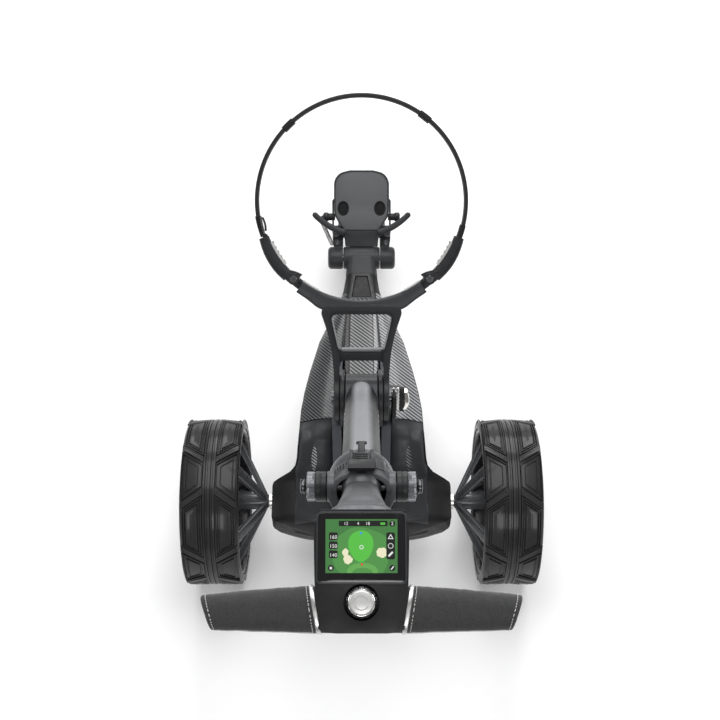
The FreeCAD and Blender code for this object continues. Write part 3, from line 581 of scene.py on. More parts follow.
def carbon_deck():
    """Ribbed deck panels, and the rear covers with their leaf marks."""
    for side, word in SIDES:
        # The right panel takes the bright carbon copy (painted light), the left panel the dark copy
        # (painted shade).
        panel = deck_patch("carbon_deck_" + word, lambda y: 24 + 20 * min(1, (430 - y) / 330),
                           lambda y: blend_value(HALF_WIDTH, y) - 1.5, 396, 101, 1.8,
                           CARBON_PAINTED_LIT if side > 0 else CARBON_DECK_PAINTED_SHADE, side)
        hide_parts("deck_panel_" + word)
        rings = []
        for row in range(60):
            y = 99 - 150 * row / 59
            near, far = 47.5, blend_value(HALF_WIDTH, min(99, max(y, 40))) - 3
            spots = [near + (far - near) * column / 24 for column in range(25)]
            line = [Vector((side * x, y, cover_height(x, y))) for x in spots]
            rings.append(line + [Vector((p.x, p.y, p.z - 6)) for p in reversed(line)])
        piece("rear_cover_" + word, faceted(rings), GROUND, SHELL_GREY, "chassis")
        leaf = []
        for row in range(31):
            share = row / 30
            half = 4.8 * math.sin(math.pi * share) ** 0.8 + 0.05
            y = 60 - 34 * share
            x0 = 78 + 1.5 * share
            leaf.append([Vector((side * (x0 + half * a), y, cover_height(x0 + half * a, y) + b))
                         for a, b in ((-1, 0.2), (-0.5, 0.6), (0.5, 0.6), (1, 0.2), (1, -4), (-1, -4))])
        piece("cover_leaf_" + word, faceted(leaf), GROUND, DECAL if side < 0 else DECAL_DARK, "chassis")


def spine():
    """Raised spine: a flat carbon strip between two grooves, with flanks sloping to the deck."""
    flank, strip = [], []
    for step in range(60):
        y = 52 + 302 * step / 59
        z = 466 - (y - 50) * 0.674 if y < 314 else 288.1 - (y - 314) * 2.2
        base = max(deck_height(30, y) - 2, 0) if y > 99 else 246 + (99 - y) * 3.6
        base = min(base, z - 12)
        width = 23 + 20 * min(1, max(0, (400 - y) / 300))
        top = min(z, max(base + 8, z))
        side = [(width, base), (width - 2, base + 5), (23.5, top - 7), (21, top - 1.5), (19.4, top),
                (18.8, top - 1.6)]
        flank.append([Vector((x, y, h)) for x, h in side + [(-x, h) for x, h in reversed(side)]])
        arch = [(18.2, z - 3), (18.2, z + 0.6), (17.2, z + 1.6), (9, z + 2.6), (0, z + 3)]
        arch += [(-x, h) for x, h in reversed(arch[:-1])]
        strip.append([Vector((x, y, h)) for x, h in arch])
    flanks = faceted(flank)
    shown = piece("spine_flanks", flanks, GROUND, CARBON_FLANK_PAINTED_SHADE, "chassis", "spine_beam")
    # Faces on the right flank take the bright carbon copy (painted light); the left flank keeps the dark
    # copy (painted shade).
    shown.data.materials.append(CARBON_PAINTED_LIT)
    for face in shown.data.polygons:
        if face.center.x > 0.002:
            face.material_index = 1
    piece("spine_top", faceted(strip), GROUND, CARBON_STRIP, "chassis", "spine_strip")


def tower():
    """Tower walls with a rounded rail along the rear edge, and the hinge ears."""
    for side, word in SIDES:
        outline = rounded([(-64, 190, 4), (-40, 205, 4), (26, 212, 4), (60, 240, 6), (99, 256, 6),
                           (190, 237, 8), (205, 300, 20), (120, 392, 20), (60, 420, 12), (30, 440, 8),
                           (-12, 446, 8), (-84, 262, 14)])
        wall = slab(outline, 30, 43.6, "YZ")
        inset = slab(rounded([(-52, 272, 8), (80, 272, 10), (160, 290, 16), (100, 372, 16),
                              (10, 420, 10)]), 43.2, 44.4,
                     "YZ")
        whole = join(wall, inset)
        piece("tower_" + word, flipped(whole) if side < 0 else whole, GROUND, RAIL, "chassis",
              "tower_wall_" + word, bevel=2.0)
        ear = lathe([(24.5, 12), (24.5, 34), (25.3, 35), (30.7, 35), (31.6, 34), (31.6, 29), (30.2, 28),
                     (30.2, 14), (31.6, 13), (31.6, 12)], shift=(0, 15.5, 485))
        strut = slab(rounded([(112, 398, 6), (60, 476, 6), (24, 498, 6), (-16, 474, 6), (-12, 440, 6),
                              (40, 418, 6)]),
                     25.2, 31.2, "YZ")
        both = join(ear, strut)
        piece("hinge_ear_" + word, flipped(both) if side < 0 else both, GROUND, FRAME, "chassis",
              bevel=0.6, segments=2)
    head = lathe([(40.6, 0.1), (44.2, 0.1), (44.2, 4), (43.4, 4.6), (43.4, 8), (44.2, 8.6), (44.2, 10),
                  (43.4, 11), (40.6, 11)])
    mirror = flipped(head.copy())
    bar = lathe([(-40.6, 0.1), (-40.6, 5.9), (40.6, 5.9), (40.6, 0.1)], steps=48)
    piece("hinge_pin", join(head, mirror, bar), PIVOT, GUNMETAL, "chassis", "main_pivot_pin")


def neck():
    """Barrel over the front hinge, with the release key and its surround."""
    barrel = lathe([(-34.4, 6.2), (-34.4, 18.5), (-32.8, 20.6), (-31, 21), (31, 21), (32.8, 20.6),
                    (34.4, 18.5), (34.4, 6.2)])
    rings = []
    for step in range(25):
        share = step / 24
        y, high = -8 - 50 * share, 19.5 - 1.5 * share
        half = 26 + 2.5 * share
        line = [(half, -14), (half, high - 8), (half - 2, high - 3), (half - 7, high - 0.6),
                (half - 12, high)]
        line += [(-a, b) for a, b in reversed(line)]
        rings.append([Vector((a, y, b + 0.4 * share)) for a, b in line])
    piece("neck_barrel_shell", join(barrel, faceted(rings)), BARREL, SHELL_GREY, "chassis", "neck_barrel",
          bevel=0.6, segments=2)
    bezel_outer = rounded([(-14.5, -28, 5), (14.5, -28, 5), (22.5, -98, 3), (-22.5, -98, 3)])
    bezel_inner = rounded([(-11.2, -34.6, 3), (11.2, -34.6, 3), (18.4, -91.4, 1.5), (-18.4, -91.4, 1.5)])
    piece("button_bezel", slab(bezel_outer, -1.2, 4.4, holes=[bezel_inner]), DECK, FRAME, "chassis",
          bevel=1.2, segments=3)
    cap = slab(rounded([(-10, -36, 3), (10, -36, 3), (17.4, -90, 2), (-17.4, -90, 2)]), -3.9, 3.9)
    piece("release_key", cap, DECK, BLACK, "release_button", "front_button", bevel=0.8,
          segments=3)


def latch():
    """Lock latch on the tower's flank: base plate, roof, bars, link, grip and bright face."""
    base = slab(rounded([(-24, -44, 3), (14, -44, 3), (16, -34, 3), (2, 14, 5), (-10, 18, 5),
                         (-24, -20, 4)]), 45.2,
                51, "YZ")
    foot = brick((44.1, 51.2), (-20, 10), (-62, -41.5))
    roof = brick((41.5, 57), (6, 10), (17.6, 19.6))
    piece("latch_plate", join(base, foot), PIVOT, BLACK, "chassis", "latch_base",
          bevel=0.8)
    piece("latch_roof", roof, PIVOT, PLATE_GREY, "chassis", bevel=0.8)
    bars = [slab(rounded([(-6, -25, 1.4), (-10, -23, 1.4), (7, 14, 1.4), (12, 12, 1.4)]), x, x + 2.6,
                 "YZ")
            for x in (46, 52.4)]
    middle = slab(rounded([(6, 14, 4), (-4, 8, 5), (-12, -24, 3), (-4, -26, 3), (5, -6, 4), (12, 0, 4),
                           (13, 10, 3)]),
                  56, 63, "YZ")
    rings = []
    for step in range(25):
        share = step / 24
        y = 6 - 14 * share - 3 * math.sin(math.pi * share)
        z = 10 - 27 * share
        rings.append([Vector((63.5 + 3.6 * a + 3.4 * math.sin(math.pi * share), y + b, z))
                      for a, b in section(2.0, 7, 3.5, 16)])
    face = faceted(rings)
    piece("latch_bars", bars[1], PIVOT, CHROME, "lock_latch", bevel=0.5)
    piece("latch_link", bars[0], PIVOT, STEEL, "chassis", bevel=0.5)
    piece("latch_grip", middle, PIVOT, BLACK, "lock_latch", bevel=0.8)
    piece("latch_face", face, PIVOT, CHROME, "lock_latch", "latch_lever")


def battery():
    """Battery case with its carrying loop."""
    case = slab(rounded([(-27.6, -78, 7), (27.6, -78, 7), (27.6, 82, 7), (-27.6, 82, 7)]), 256.4, 355)
    grooves = [slab(rounded([(-28, y, 0.8), (28, y, 0.8), (28, y + 5, 0.8), (-28, y + 5, 0.8)]), 290, 354)
               for y in (-50, -38, -26)]
    loop = []
    for step in range(25):
        angle = math.pi * step / 24
        loop.append([Vector((18 * math.cos(angle), -77 - 17 * math.sin(angle) + a, 337 + b))
                     for a, b in section(5, 12, 3, 12)])
    piece("battery_case", join(case, *grooves), GROUND, BLACK, "battery", "battery_pack",
          bevel=2.5)
    piece("battery_loop", faceted(loop), GROUND, STRAP, "battery")


# ---------------------------------------------------------------- wheels

def inset(points, depth):
    """A convex outline drawn in by a distance."""
    lines = []
    for index, point in enumerate(points):
        start, end = Vector(point), Vector(points[(index + 1) % len(points)])
        along = (end - start).normalized()
        normal = Vector((-along.y, along.x))
        lines.append((start + normal * depth, along))
    out = []
    for index in range(len(lines)):
        p, d = lines[index - 1]
        q, e = lines[index]
        cross = d.x * e.y - d.y * e.x
        share = ((q - p).x * e.y - (q - p).y * e.x) / cross
        out.append(p + d * share)
    return out


def stepped(points, count=10):
    """Points spaced evenly along each edge of a closed outline."""
    return [Vector(a).lerp(Vector(b), step / count) for a, b in zip(points, points[1:] + points[:1])
            for step in range(count)]


def tread_block(outline, centre, rise, base, solid, width=4.6):
    """A raised block, or a raised frame, wrapped on the tyre.

    Outline is (across, along), turned about X.
    """
    depths = [(0, base), (0, rise - 0.7), (0.8, rise)]
    if solid:
        depths += [(3.5, rise), (6.5, rise - 0.35), (7.5, rise - 0.35)]
    else:
        depths += [(width - 0.8, rise), (width, rise - 0.7), (width, base)]
    rings = []
    for depth, radius in depths:
        ring = []
        for x, s in stepped(inset(outline, depth)):
            angle = centre + s / rise
            ring.append(Vector((x, -radius * math.sin(angle), radius * math.cos(angle))))
        rings.append(ring)
    bm = faceted(rings, caps=False)
    if solid:
        bmesh.ops.holes_fill(bm, edges=[e for e in bm.edges if e.is_boundary and
                                        all(abs(v.co.yz.length - (rise - 0.35)) < 0.01 for v in e.verts)])
    return bm


def tyre(side, word):
    """Ribbed centre, nested trapezoids and open trapezoids in turn on both sides, five times round."""
    rubber = lathe([(0, 123.4), (0, 131.5), (1.6, 134.4), (5, 136), (36.4, 136.6), (37.6, 139),
                    (40.6, 139.2), (41.6, 137.2), (44, 137.2), (45, 139.4), (49, 139.4), (50, 137.2),
                    (52.4, 137.2), (53.4, 139.2), (56.4, 139), (57.6, 136.6), (89, 136), (92.4, 134.4),
                    (94, 131.5), (94, 123.4), (88, 122.8), (6, 122.8)], steps=150)
    blocks = []
    for turn in range(5):
        centre = math.radians(72 * turn + 42)
        group = [(36.5, -53), (36.5, 53), (3.6, 31), (3.6, -31)]
        gap = [(36.5, -19), (36.5, 19), (1.2, 43), (1.2, -43)]
        strips = [[(37.2, 21.6), (37.2, 32.8), (1.2, 57), (1.2, 46)],
                  [(37.2, -32.8), (37.2, -21.6), (1.2, -46), (1.2, -57)]]
        for mirror in (False, True):
            def placed(outline):
                return [(94 - x, s) for x, s in reversed(outline)] if mirror else outline
            middle = centre + math.radians(36)
            blocks.append(tread_block(placed(group), centre, 139.7, 136, False, 2.3))
            blocks.append(tread_block(inset(placed(group), 3.7), centre, 139.8, 136, False, 2.1))
            blocks.append(tread_block(inset(placed(group), 7.3), centre, 140, 136, True))
            blocks.append(tread_block(placed(gap), middle, 139.2, 136, False, 2.0))
            blocks.append(tread_block(inset(placed(gap), 7.0), middle, 138, 136, False, 1.9))
            blocks += [tread_block(placed(strip), middle, 139.5, 136, True) for strip in strips]
    whole = moved(join(rubber, *blocks), Matrix.Translation((198, 0, 0)))
    bmesh.ops.recalc_face_normals(whole, faces=whole.faces)
    if side < 0:
        whole = flipped(whole)
    piece("tyre_tread_" + word, whole, AXLE, TYRE, word + "_wheel", "tyre_" + word)


def rim(side, word):
    """Hoop, five spokes, hub and bright hub cap of a rear wheel."""
    hoop = lathe([(200, 122.8), (199, 120.5), (201, 117.5), (206, 116.6), (284, 116.6), (289, 117.5),
                  (291, 120.5), (290, 122.8)], steps=120)
    spokes = []
    for turn in range(5):
        rings = []
        for step in range(9):
            share = step / 8
            radius = 12 + 106 * share
            near = 160 + 52 * share
            far = near + 9 + 6 * share
            wide = 5.4 + 5.2 * share
            ring = [(near, -wide), (near, wide), (near + 4, wide + 1.5), (far, wide - 1), (far, wide - 4),
                    (near + 6, wide - 3.4), (near + 6, 3.4 - wide), (far, 4 - wide), (far, 1 - wide),
                    (near + 4, -wide - 1.5)]
            rings.append([Vector((a, b, radius)) for a, b in ring])
        spokes.append(moved(faceted(rings), Matrix.Rotation(math.radians(72 * turn - 8), 4, "X")))
    hub = lathe([(157.6, 6.3), (157.6, 10), (159, 12), (164, 13.4), (178, 14), (222, 14), (227, 13),
                 (227, 6.3)],
                steps=60)
    body = word + "_wheel"
    for name, shape, look in (("rim_hoop_", hoop, GLOSS), ("rim_hub_", join(hub, *spokes), SPOKE)):
        shape = flipped(shape) if side < 0 else shape
        piece(name + word, shape, AXLE, look, body, "rim_" + word if name == "rim_hub_" else (),
              bevel=0.9, segments=2)
    cap = lathe([(227.2, 0.1), (227.2, 16), (230, 17.4), (234, 16.6), (237, 12), (238, 0.1)], steps=60)
    nut = lathe([(155.4, 6.3), (155.4, 9.0), (156.8, 10.2), (157.6, 10.2), (157.6, 6.3)], steps=6)
    shape = join(cap, nut)
    piece("hub_cap_" + word, flipped(shape) if side < 0 else shape, AXLE, TRIM, body,
          bevel=0.4, segments=2)


def front_wheel():
    """Front tyre with its tread, and the disc of its rim."""
    rubber = lathe([(-20, 81.2), (-22.6, 84), (-23, 88), (-20, 92), (-14, 94), (-13, 94.8), (-9, 95),
                    (-8, 93.4), (-5, 93.4), (-4, 95), (4, 95), (5, 93.4), (8, 93.4), (9, 95), (13, 94.8),
                    (14, 94), (20, 92), (23, 88), (22.6, 84), (20, 81.2)], steps=120)
    lugs = []
    for turn in range(20):
        for mirror in (1, -1):
            lug = brick((14.6, 21.6), (-6, 6), (90.6, 94.2))
            lug = flipped(lug) if mirror < 0 else lug
            lugs.append(moved(lug, Matrix.Rotation(math.radians(18 * turn + 9 * (mirror < 0)), 4, "X")))
    piece("front_tyre_tread", join(rubber, *lugs), FRONT_AXLE, TYRE, "front_wheel", "front_tyre")
    disc = lathe([(20.5, 81), (20.5, 75), (13, 68), (11, 60), (11, 22), (14, 16), (32.6, 13.6),
                  (32.6, 6.2), (-32.6, 6.2), (-32.6, 13.6), (-14, 16), (-11, 22), (-11, 60), (-13, 68),
                  (-20.5, 75), (-20.5, 81)],
                 steps=90)
    ribs = []
    for turn in range(5):
        for mirror in (1, -1):
            rib = slab(rounded([(-8, 20, 3), (8, 20, 3), (12, 70, 4), (-12, 70, 4)]), 11, 16.5)
            rib = moved(rib, Matrix(((0, 0, 1, 0), (1, 0, 0, 0), (0, 1, 0, 0), (0, 0, 0, 1))))
            rib = flipped(rib) if mirror < 0 else rib
            ribs.append(moved(rib, Matrix.Rotation(math.radians(72 * turn), 4, "X")))
    piece("front_rim_disc", join(disc, *ribs), FRONT_AXLE, SHELL_GREY, "front_wheel", "front_rim",
          bevel=0.8)


# ---------------------------------------------------------------- front carrier

def front_carrier():
    """Folding fork legs with their barrel ends, and the bracket of the bag plate."""
    for side, word in SIDES:
        end = lathe([(35.4, 6.2), (35.4, 19.6), (36.4, 20.8), (38, 21), (57, 21), (60.4, 20),
                     (62.4, 17.6), (63.4, 14), (62.6, 13), (62.6, 6.2)])
        leg = slab(rounded([(4, -20, 6), (12, 14, 8), (34, 10, 12), (118, -38, 10), (123, -56, 12),
                            (110, -73, 12), (90, -72, 14)], 8), 36.2, 45.8, "YZ")
        cheek = slab(rounded([(6, -10, 3), (2, 18, 3), (20, 18, 3), (37.4, 16.4, 2), (54.5, 28.7, 2),
                              (59.6, 22.6, 2), (36, 2, 3)]), 36.2, 52.8, "YZ")
        boss = lathe([(45.6, 0.1), (49, 0.1), (49, 7), (48, 9), (45.6, 10)], shift=(0, 105, -55),
                     steps=40)
        whole = join(end, leg, cheek, boss)
        piece("front_leg_" + word, flipped(whole) if side < 0 else whole, BARREL, SHELL_GREY,
              "front_carrier", "front_fork_" + word, bevel=1.4)
    block = slab(rounded([(-53.8, -63.8, 5), (53.8, -63.8, 5), (53.8, -40.2, 3), (-53.8, -40.2, 3)]), -11,
                 -3.3)
    tongue = slab(rounded([(-30.6, -80.2, 2), (30.6, -80.2, 2), (33, -50.2, 2), (-33, -50.2, 2)]), -9,
                  2.4)
    piece("bracket", join(block, tongue), PLATE, SHELL_GREY, "front_carrier", "front_bracket",
          bevel=1.0)
    parts = {"cheek_blocks": (FRAME, []), "arm_screws": (GUNMETAL, []), "brace_links": (TRIM, []),
             "side_knobs": (FRAME, [])}
    for side in (1, -1):
        ear = slab(rounded([(36.4, -80, 3), (52.4, -80, 4), (54.4, -66, 3), (54.4, -56, 2),
                            (36.4, -62, 3)]), -11, 1.0)
        socket = lathe([(0.9, 0.1), (0.9, 5.0), (1.9, 5.2), (1.9, 3.4), (1.2, 3.2), (1.2, 0.1)], "Z", 32,
                       shift=(46.4, -71.5, 0))
        pin = lathe([(12.2, 0.1), (13.2, 0.1), (13.2, 2.2), (15.0, 2.6), (15.0, 5.0), (14.2, 5.8),
                     (12.2, 5.8)], "Z", 32,
                    shift=(47.5, -56, 0))
        small = lathe([(-2, 0.1), (-2, 2.6), (3.4, 2.6), (4, 2), (4, 0.1)], "Z", 24, shift=(31.5, -62, 0))
        knob = lathe([(50, 0.2), (50, 6.2), (53, 6.8), (62, 6.8), (64, 8.6), (70, 8.6), (72.6, 6),
                      (72.6, 0.2)], "X", 32,
                     shift=(0, -24, -9))
        strip = slab(rounded([(52.2, -54, 1), (55.4, -54, 1), (55.4, 6, 1), (53, 10, 1), (52.2, 10, 1)]),
                     -13, -3.4)
        for name, shape in (("cheek_blocks", join(ear, strip)), ("arm_screws", join(socket, pin, small)),
                            ("side_knobs", knob)):
            parts[name][1].append(flipped(shape) if side < 0 else shape)
    link = []
    for step in range(20):
        share = step / 19
        link.append([Vector((-55 - 20 * share + a, -78 + 44 * share, -12 + b)) for a,
                     b in section(9, 3, 3, 12)])
    parts["brace_links"][1].append(faceted(link))
    parts["brace_links"][1].append(lathe([(-14, 0.1), (-14, 6), (-6, 6), (-6, 4), (-7, 3.6), (-7, 0.1)],
                                         "Z", 24, shift=(-72, -26, 0)))
    for name, (look, shapes) in parts.items():
        piece(name, join(*shapes), PLATE, look, "front_carrier",
              bevel=0.5, segments=2)


def bag_plate():
    """Plate that the bag stands on, with its rim and its ringed holes."""
    half = [(22, 63, 0), (42, 58, 22), (51.8, 44, 16), (51.9, 10, 6), (51.7, -21, 9), (33.4, -49.8, 3)]
    outline = rounded(half + [(-x, y, r) for x, y, r in reversed(half)], 8)[::-1]
    holes = []
    for x0 in (-34.5, 34.5):
        holes.append([(x0 + 9.4 * math.cos(2 * math.pi * k / 32),
                       -8 + 12.4 * math.sin(2 * math.pi * k / 32))
                      for k in range(32)])
    sheet = slab(outline, -0.6, 2.3, holes=holes)
    back = slab(outline, -2.9, -0.5)
    piece("bag_plate_top", join(sheet, back), PLATE, PLATE_GREY, "front_carrier", "bag_plate",
          bevel=0.9, segments=3)
    edge_in = rounded([(x * 0.94, y * 0.95, r) for x, y, r in half] +
                      [(-x * 0.94, y * 0.95, r) for x, y, r in reversed(half)], 8)[::-1]
    piece("bag_plate_rim", slab(outline, 2.1, 3.0, holes=[edge_in]), PLATE, SHELL_GREY, "front_carrier",
          bevel=0.4, segments=2)
    rims = []
    for x0 in (-34.5, 34.5):
        rings = []
        for k in range(41):
            angle = 2 * math.pi * k / 40
            rings.append([Vector((x0 + (9.9 + a) * math.cos(angle), -8 + (12.9 + a) * math.sin(angle),
                                  2.4 + b))
                          for a, b in section(2.0, 1.2, 2, 10)])
        rims.append(faceted(rings, caps=False))
        floor = [(x0 + 9.8 * math.cos(2 * math.pi * k / 32), -8 + 12.8 * math.sin(2 * math.pi * k / 32))
                 for k in range(32)]
        rims.append(slab(floor, -0.6, -0.1))
        rims.append(slab(rounded([(x0 - 3.4, -15, 2.5), (x0 + 3.4, -15, 2.5), (x0 + 3.4, -1, 2.5),
                                  (x0 - 3.4, -1, 2.5)]), -0.3, 1.2))
    piece("hole_rims", join(*rims), PLATE, BLACK, "front_carrier")


def lower_arms():
    """Two arms that hug the foot of the bag."""
    for side, word in SIDES:
        shapes = []
        for outer, thick, low, high in ((127, 12.6, 6.2, 23), (122.6, 5.4, 22.6, 26.8)):
            rings = []
            for step in range(41):
                share = step / 40
                angle = math.radians(-90 + 15.2 + 33.4 * share)
                taper = 1 - 0.16 * share
                tip = min(1.0, math.sqrt(max(0.02, 1 - ((share - 0.93) / 0.07) ** 2)) if share > 0.93
                          else 1.0)
                ring = []
                for a, b in section(thick * taper * tip, (high - low) * taper, 3.6, 20):
                    r = outer - thick / 2 + a
                    ring.append(Vector((r * math.cos(angle), 63 + r * math.sin(angle),
                                        (low + high) / 2 + b)))
                rings.append(ring)
            shapes.append(faceted(rings))
        foot = lathe([(-2.8, 3.2), (-2.8, 6.6), (-2.2, 7), (11, 7), (12, 6), (12, 3.2)], "Z", 40,
                     shift=(47.5, -56, 0))
        web = slab(rounded([(41, -58, 3), (54, -57, 3), (55, -46, 4), (40, -46, 4)]), 6.2, 11.8)
        whole = join(*shapes, foot, web)
        piece("bag_arm_" + word, flipped(whole) if side < 0 else whole, PLATE, SHELL_GREY,
              word + "_lower_arm", "lower_arm_" + word, bevel=0.6, segments=2)


# ---------------------------------------------------------------- shaft

SLANT = Matrix.Translation((0, 38.6, TUBE - 17)) @ Matrix.Rotation(math.radians(29.7), 4, "X")


def lean_in(vert):
    """Leans the front of the collar in towards the handle's neck."""
    if vert.co.y < 0 and vert.co.z > TUBE + 8 and math.hypot(vert.co.x, vert.co.y) < 31:
        vert.co.y *= 1.15
    if vert.co.y > 0 and vert.co.z > TUBE - 20:
        vert.co.y *= 1 - 0.48 * ((vert.co.z - TUBE + 20) / 37) ** 1.25
        reach = vert.co.x ** 2 + vert.co.y ** 2
        room = 24.8 ** 2 - (vert.co.z - TUBE) ** 2
        if 0 < reach < room and vert.co.z > TUBE - 12:
            vert.co.x *= math.sqrt(room / reach)
            vert.co.y *= math.sqrt(room / reach)
        if vert.co.z > TUBE + 8:
            vert.co.z = TUBE + 8 + (vert.co.z - TUBE - 8) * (1 - 0.04 * vert.co.y)


def wrap_leaf(side):
    """Leaf-shaped decal wrapped on the flank of the tube."""
    rings = []
    for row in range(31):
        share = row / 30
        z = 70 + 150 * share
        half = 20 * math.sin(math.pi * share ** 0.8) ** 0.8 + 0.4
        ring = []
        for column in range(9):
            angle = math.radians(-8 + half * (column / 8 * 2 - 1))
            ring.append(Vector((side * 23.75 * math.cos(angle), 23.75 * math.sin(angle), z)))
        for column in reversed(range(9)):
            angle = math.radians(-8 + half * (column / 8 * 2 - 1))
            ring.append(Vector((side * 23.2 * math.cos(angle), 23.2 * math.sin(angle), z)))
        rings.append(ring)
    return faceted(rings)


def deepen(y, z):
    """The tube grows deeper towards its socket."""
    share = max(0.0, min(1.0, (72 - z) / 56))
    return y * (1 + 0.2 * share * share * (3 - 2 * share)) if y > 0 else y


def shaft():
    """Tube with its leaf marks, the socket at its foot and the collar at its head."""
    tube = lathe([(8, 20), (8, 22.6), (9.2, 23.5)]
                 + [(z, 23.5) for z in (16, 24, 32, 40, 48, 56, 64, 72)] +
                 [(TUBE - 40, 23.5), (TUBE - 40, 20)], "Z", 96)
    for vert in tube.verts:
        vert.co.y = deepen(vert.co.y, vert.co.z)
    # The tube's material carries a painted highlight along its middle and painted shade at its sides.
    piece("tube", tube, SHAFT, TUBE_PAINTED_HIGHLIGHT, "shaft", "main_tube")
    piece("tube_leaves", join(wrap_leaf(1), wrap_leaf(-1)), SHAFT, DECAL, "shaft")
    drum = lathe([(-23.9, 6.4), (-23.9, 33), (-22.6, 34.6), (22.6, 34.6), (23.9, 33), (23.9, 6.4)],
                 steps=96)
    piece("socket", drum, SHAFT, SHELL_GREY, "shaft", "tube_socket")
    rings = []
    for step in range(97):
        turn = 2 * math.pi * step / 96
        back = deepen(23.6 * math.sin(turn), 16)
        high = math.sqrt(34.6 ** 2 - back ** 2)
        rings.append([Vector((max(-24.2, min(24.2, (23.5 + a) * math.cos(turn))),
                              back + a * math.sin(turn), high + b))
                      for a, b in ((-0.6, -1), (0.9, -1), (1.1, 0.0), (0.7, 0.9), (-0.6, 1.1))])
    piece("socket_lip", faceted(rings, caps=False), SHAFT, COLLAR, "shaft")
    collar = lathe([(TUBE - 44, 23.6), (TUBE - 40, 26), (TUBE - 24, 35.6), (TUBE - 20, 37.6),
                    (TUBE - 17, 38), (TUBE - 6, 38), (TUBE - 5.4, 37.5), (TUBE - 4.6, 37.5),
                    (TUBE - 4, 38), (TUBE + 8, 38), (TUBE + 14, 38), (TUBE + 16.4, 37.2), (TUBE + 17, 36),
                    (TUBE + 16.4, 29), (TUBE + 15, 27.4), (TUBE + 12, 27.2), (TUBE + 9, 30.2),
                    (TUBE - 26, 30.2), (TUBE - 30, 24)], "Z", 120)
    for vert in collar.verts:
        lean_in(vert)
    ticks = []
    for number in range(7):
        tick = brick((-0.5, 0.5), (37.6, 38.5), (TUBE - 1, TUBE + (7 if number % 3 else 11)))
        for vert in moved(tick, Matrix.Rotation(math.radians(26 + 6 * number), 4, "Z")).verts:
            lean_in(vert)
        ticks.append(tick)
    bosses = []
    for sign in (1, -1):
        boss = lathe([(30.5, 5.2), (30.5, 17.2), (37.6, 16.8), (38.2, 16), (38.2, 5.2)], steps=60,
                     shift=(0, 0, TUBE))
        bosses.append(moved(boss, Matrix.Scale(sign, 4, (1, 0, 0))))
    cam = slab(rounded([(15.8, 0.6, 1), (25, -3.4, 2), (27.5, -7.6, 1), (24, -8.4, 1), (15.8, -3.4, 1)]),
               15, 30)
    cam = moved(cam, SLANT)
    whole = join(collar, cam, *bosses)
    bmesh.ops.recalc_face_normals(whole, faces=whole.faces)
    piece("collar", whole, SHAFT, COLLAR, "shaft", "handle_collar", bevel=0.4, segments=2)
    piece("collar_marks", join(*ticks), SHAFT, BLACK, "shaft")


def knobs():
    """Clamp knobs on both sides of the collar, each with a nub and a clear ring."""
    for side, word in SIDES:
        barrel = lathe([(38.6, 5.2), (38.6, 15.6), (39.6, 16.6), (44, 16.8), (44.6, 16.2), (45.4, 16.2),
                        (46, 16.8), (50.2, 16.6), (51.2, 15.6), (51.2, 10), (60.6, 9.6), (60.6, 5.2)],
                        steps=64, shift=(0, 0, TUBE))
        body = word + "_knob"
        barrel = flipped(barrel) if side < 0 else barrel
        nub = lathe([(60.7, 0.2), (60.7, 6.2), (62.6, 5.6), (62.6, 7.5), (63.4, 8.1), (64.6, 8.1),
                     (65, 6.7), (66, 6.7), (66.4, 8.1), (67.4, 7.7), (68, 6), (68, 0.2)], steps=48,
                     shift=(0, 0, TUBE))
        nub = flipped(nub) if side < 0 else nub
        piece("knob_nub_" + word, nub, SHAFT, GUNMETAL, body)
        piece("knob_" + word, barrel, SHAFT, FRAME, body, "clamp_knob_" + word)
        rings = []
        for x, scale in ((51.5, 0.95), (52.4, 1.0), (59.6, 1.0), (60.4, 0.93)):
            ring = []
            for k in range(96):
                angle = 2 * math.pi * k / 96
                radius = 16.6 * scale * (0.95 + 0.05 * math.tanh(4 * math.cos(6 * angle)))
                ring.append(Vector((x, radius * math.cos(angle), radius * math.sin(angle) + TUBE)))
            rings.append(ring)
        rings += [[Vector((x, 10.2 * math.cos(2 * math.pi * k / 96),
                           10.2 * math.sin(2 * math.pi * k / 96) + TUBE))
                   for k in range(96)] for x in (60.3, 51.7)]
        rings.append(rings[0])
        clear = faceted(rings, caps=False)
        clear = flipped(clear) if side < 0 else clear
        piece("clear_knob_" + word, clear, SHAFT, CLEAR, body, "clear_ring_" + word)


def clip():
    """Lever clip on the front of the collar."""
    rails = [brick((x, x + 3.8), (0.9, 7.6), (8, 36)) for x in (-13.4, 9.6)]
    rails.append(brick((-4, 4), (-1, 2), (-11, 12)))
    pad = slab(rounded([(-9.4, 10, 1), (9.4, 10, 1), (9.4, 30, 1), (-9.4, 30, 1)]), 1.6, 4.8, "XZ")
    ribs = [brick((-7, 7), (4.4, 5.6), (z, z + 1.4)) for z in (12, 15.2, 18.4)]
    toe = slab(rounded([(-14, 24, 1), (14, 24, 1), (15.4, 38, 2), (-15.4, 38, 2)]), 3.2, 8.6, "XZ")
    whole = moved(join(*rails, pad, toe, *ribs), SLANT)
    pin = lathe([(-6, 0.1), (-6, 1.8), (6, 1.8), (6, 0.1)], steps=24, shift=(0, 43, TUBE - 27))
    piece("clip", join(whole, pin), SHAFT, FRAME, "clip", "clip_lever", bevel=0.7,
          segments=2)


# ---------------------------------------------------------------- cradle

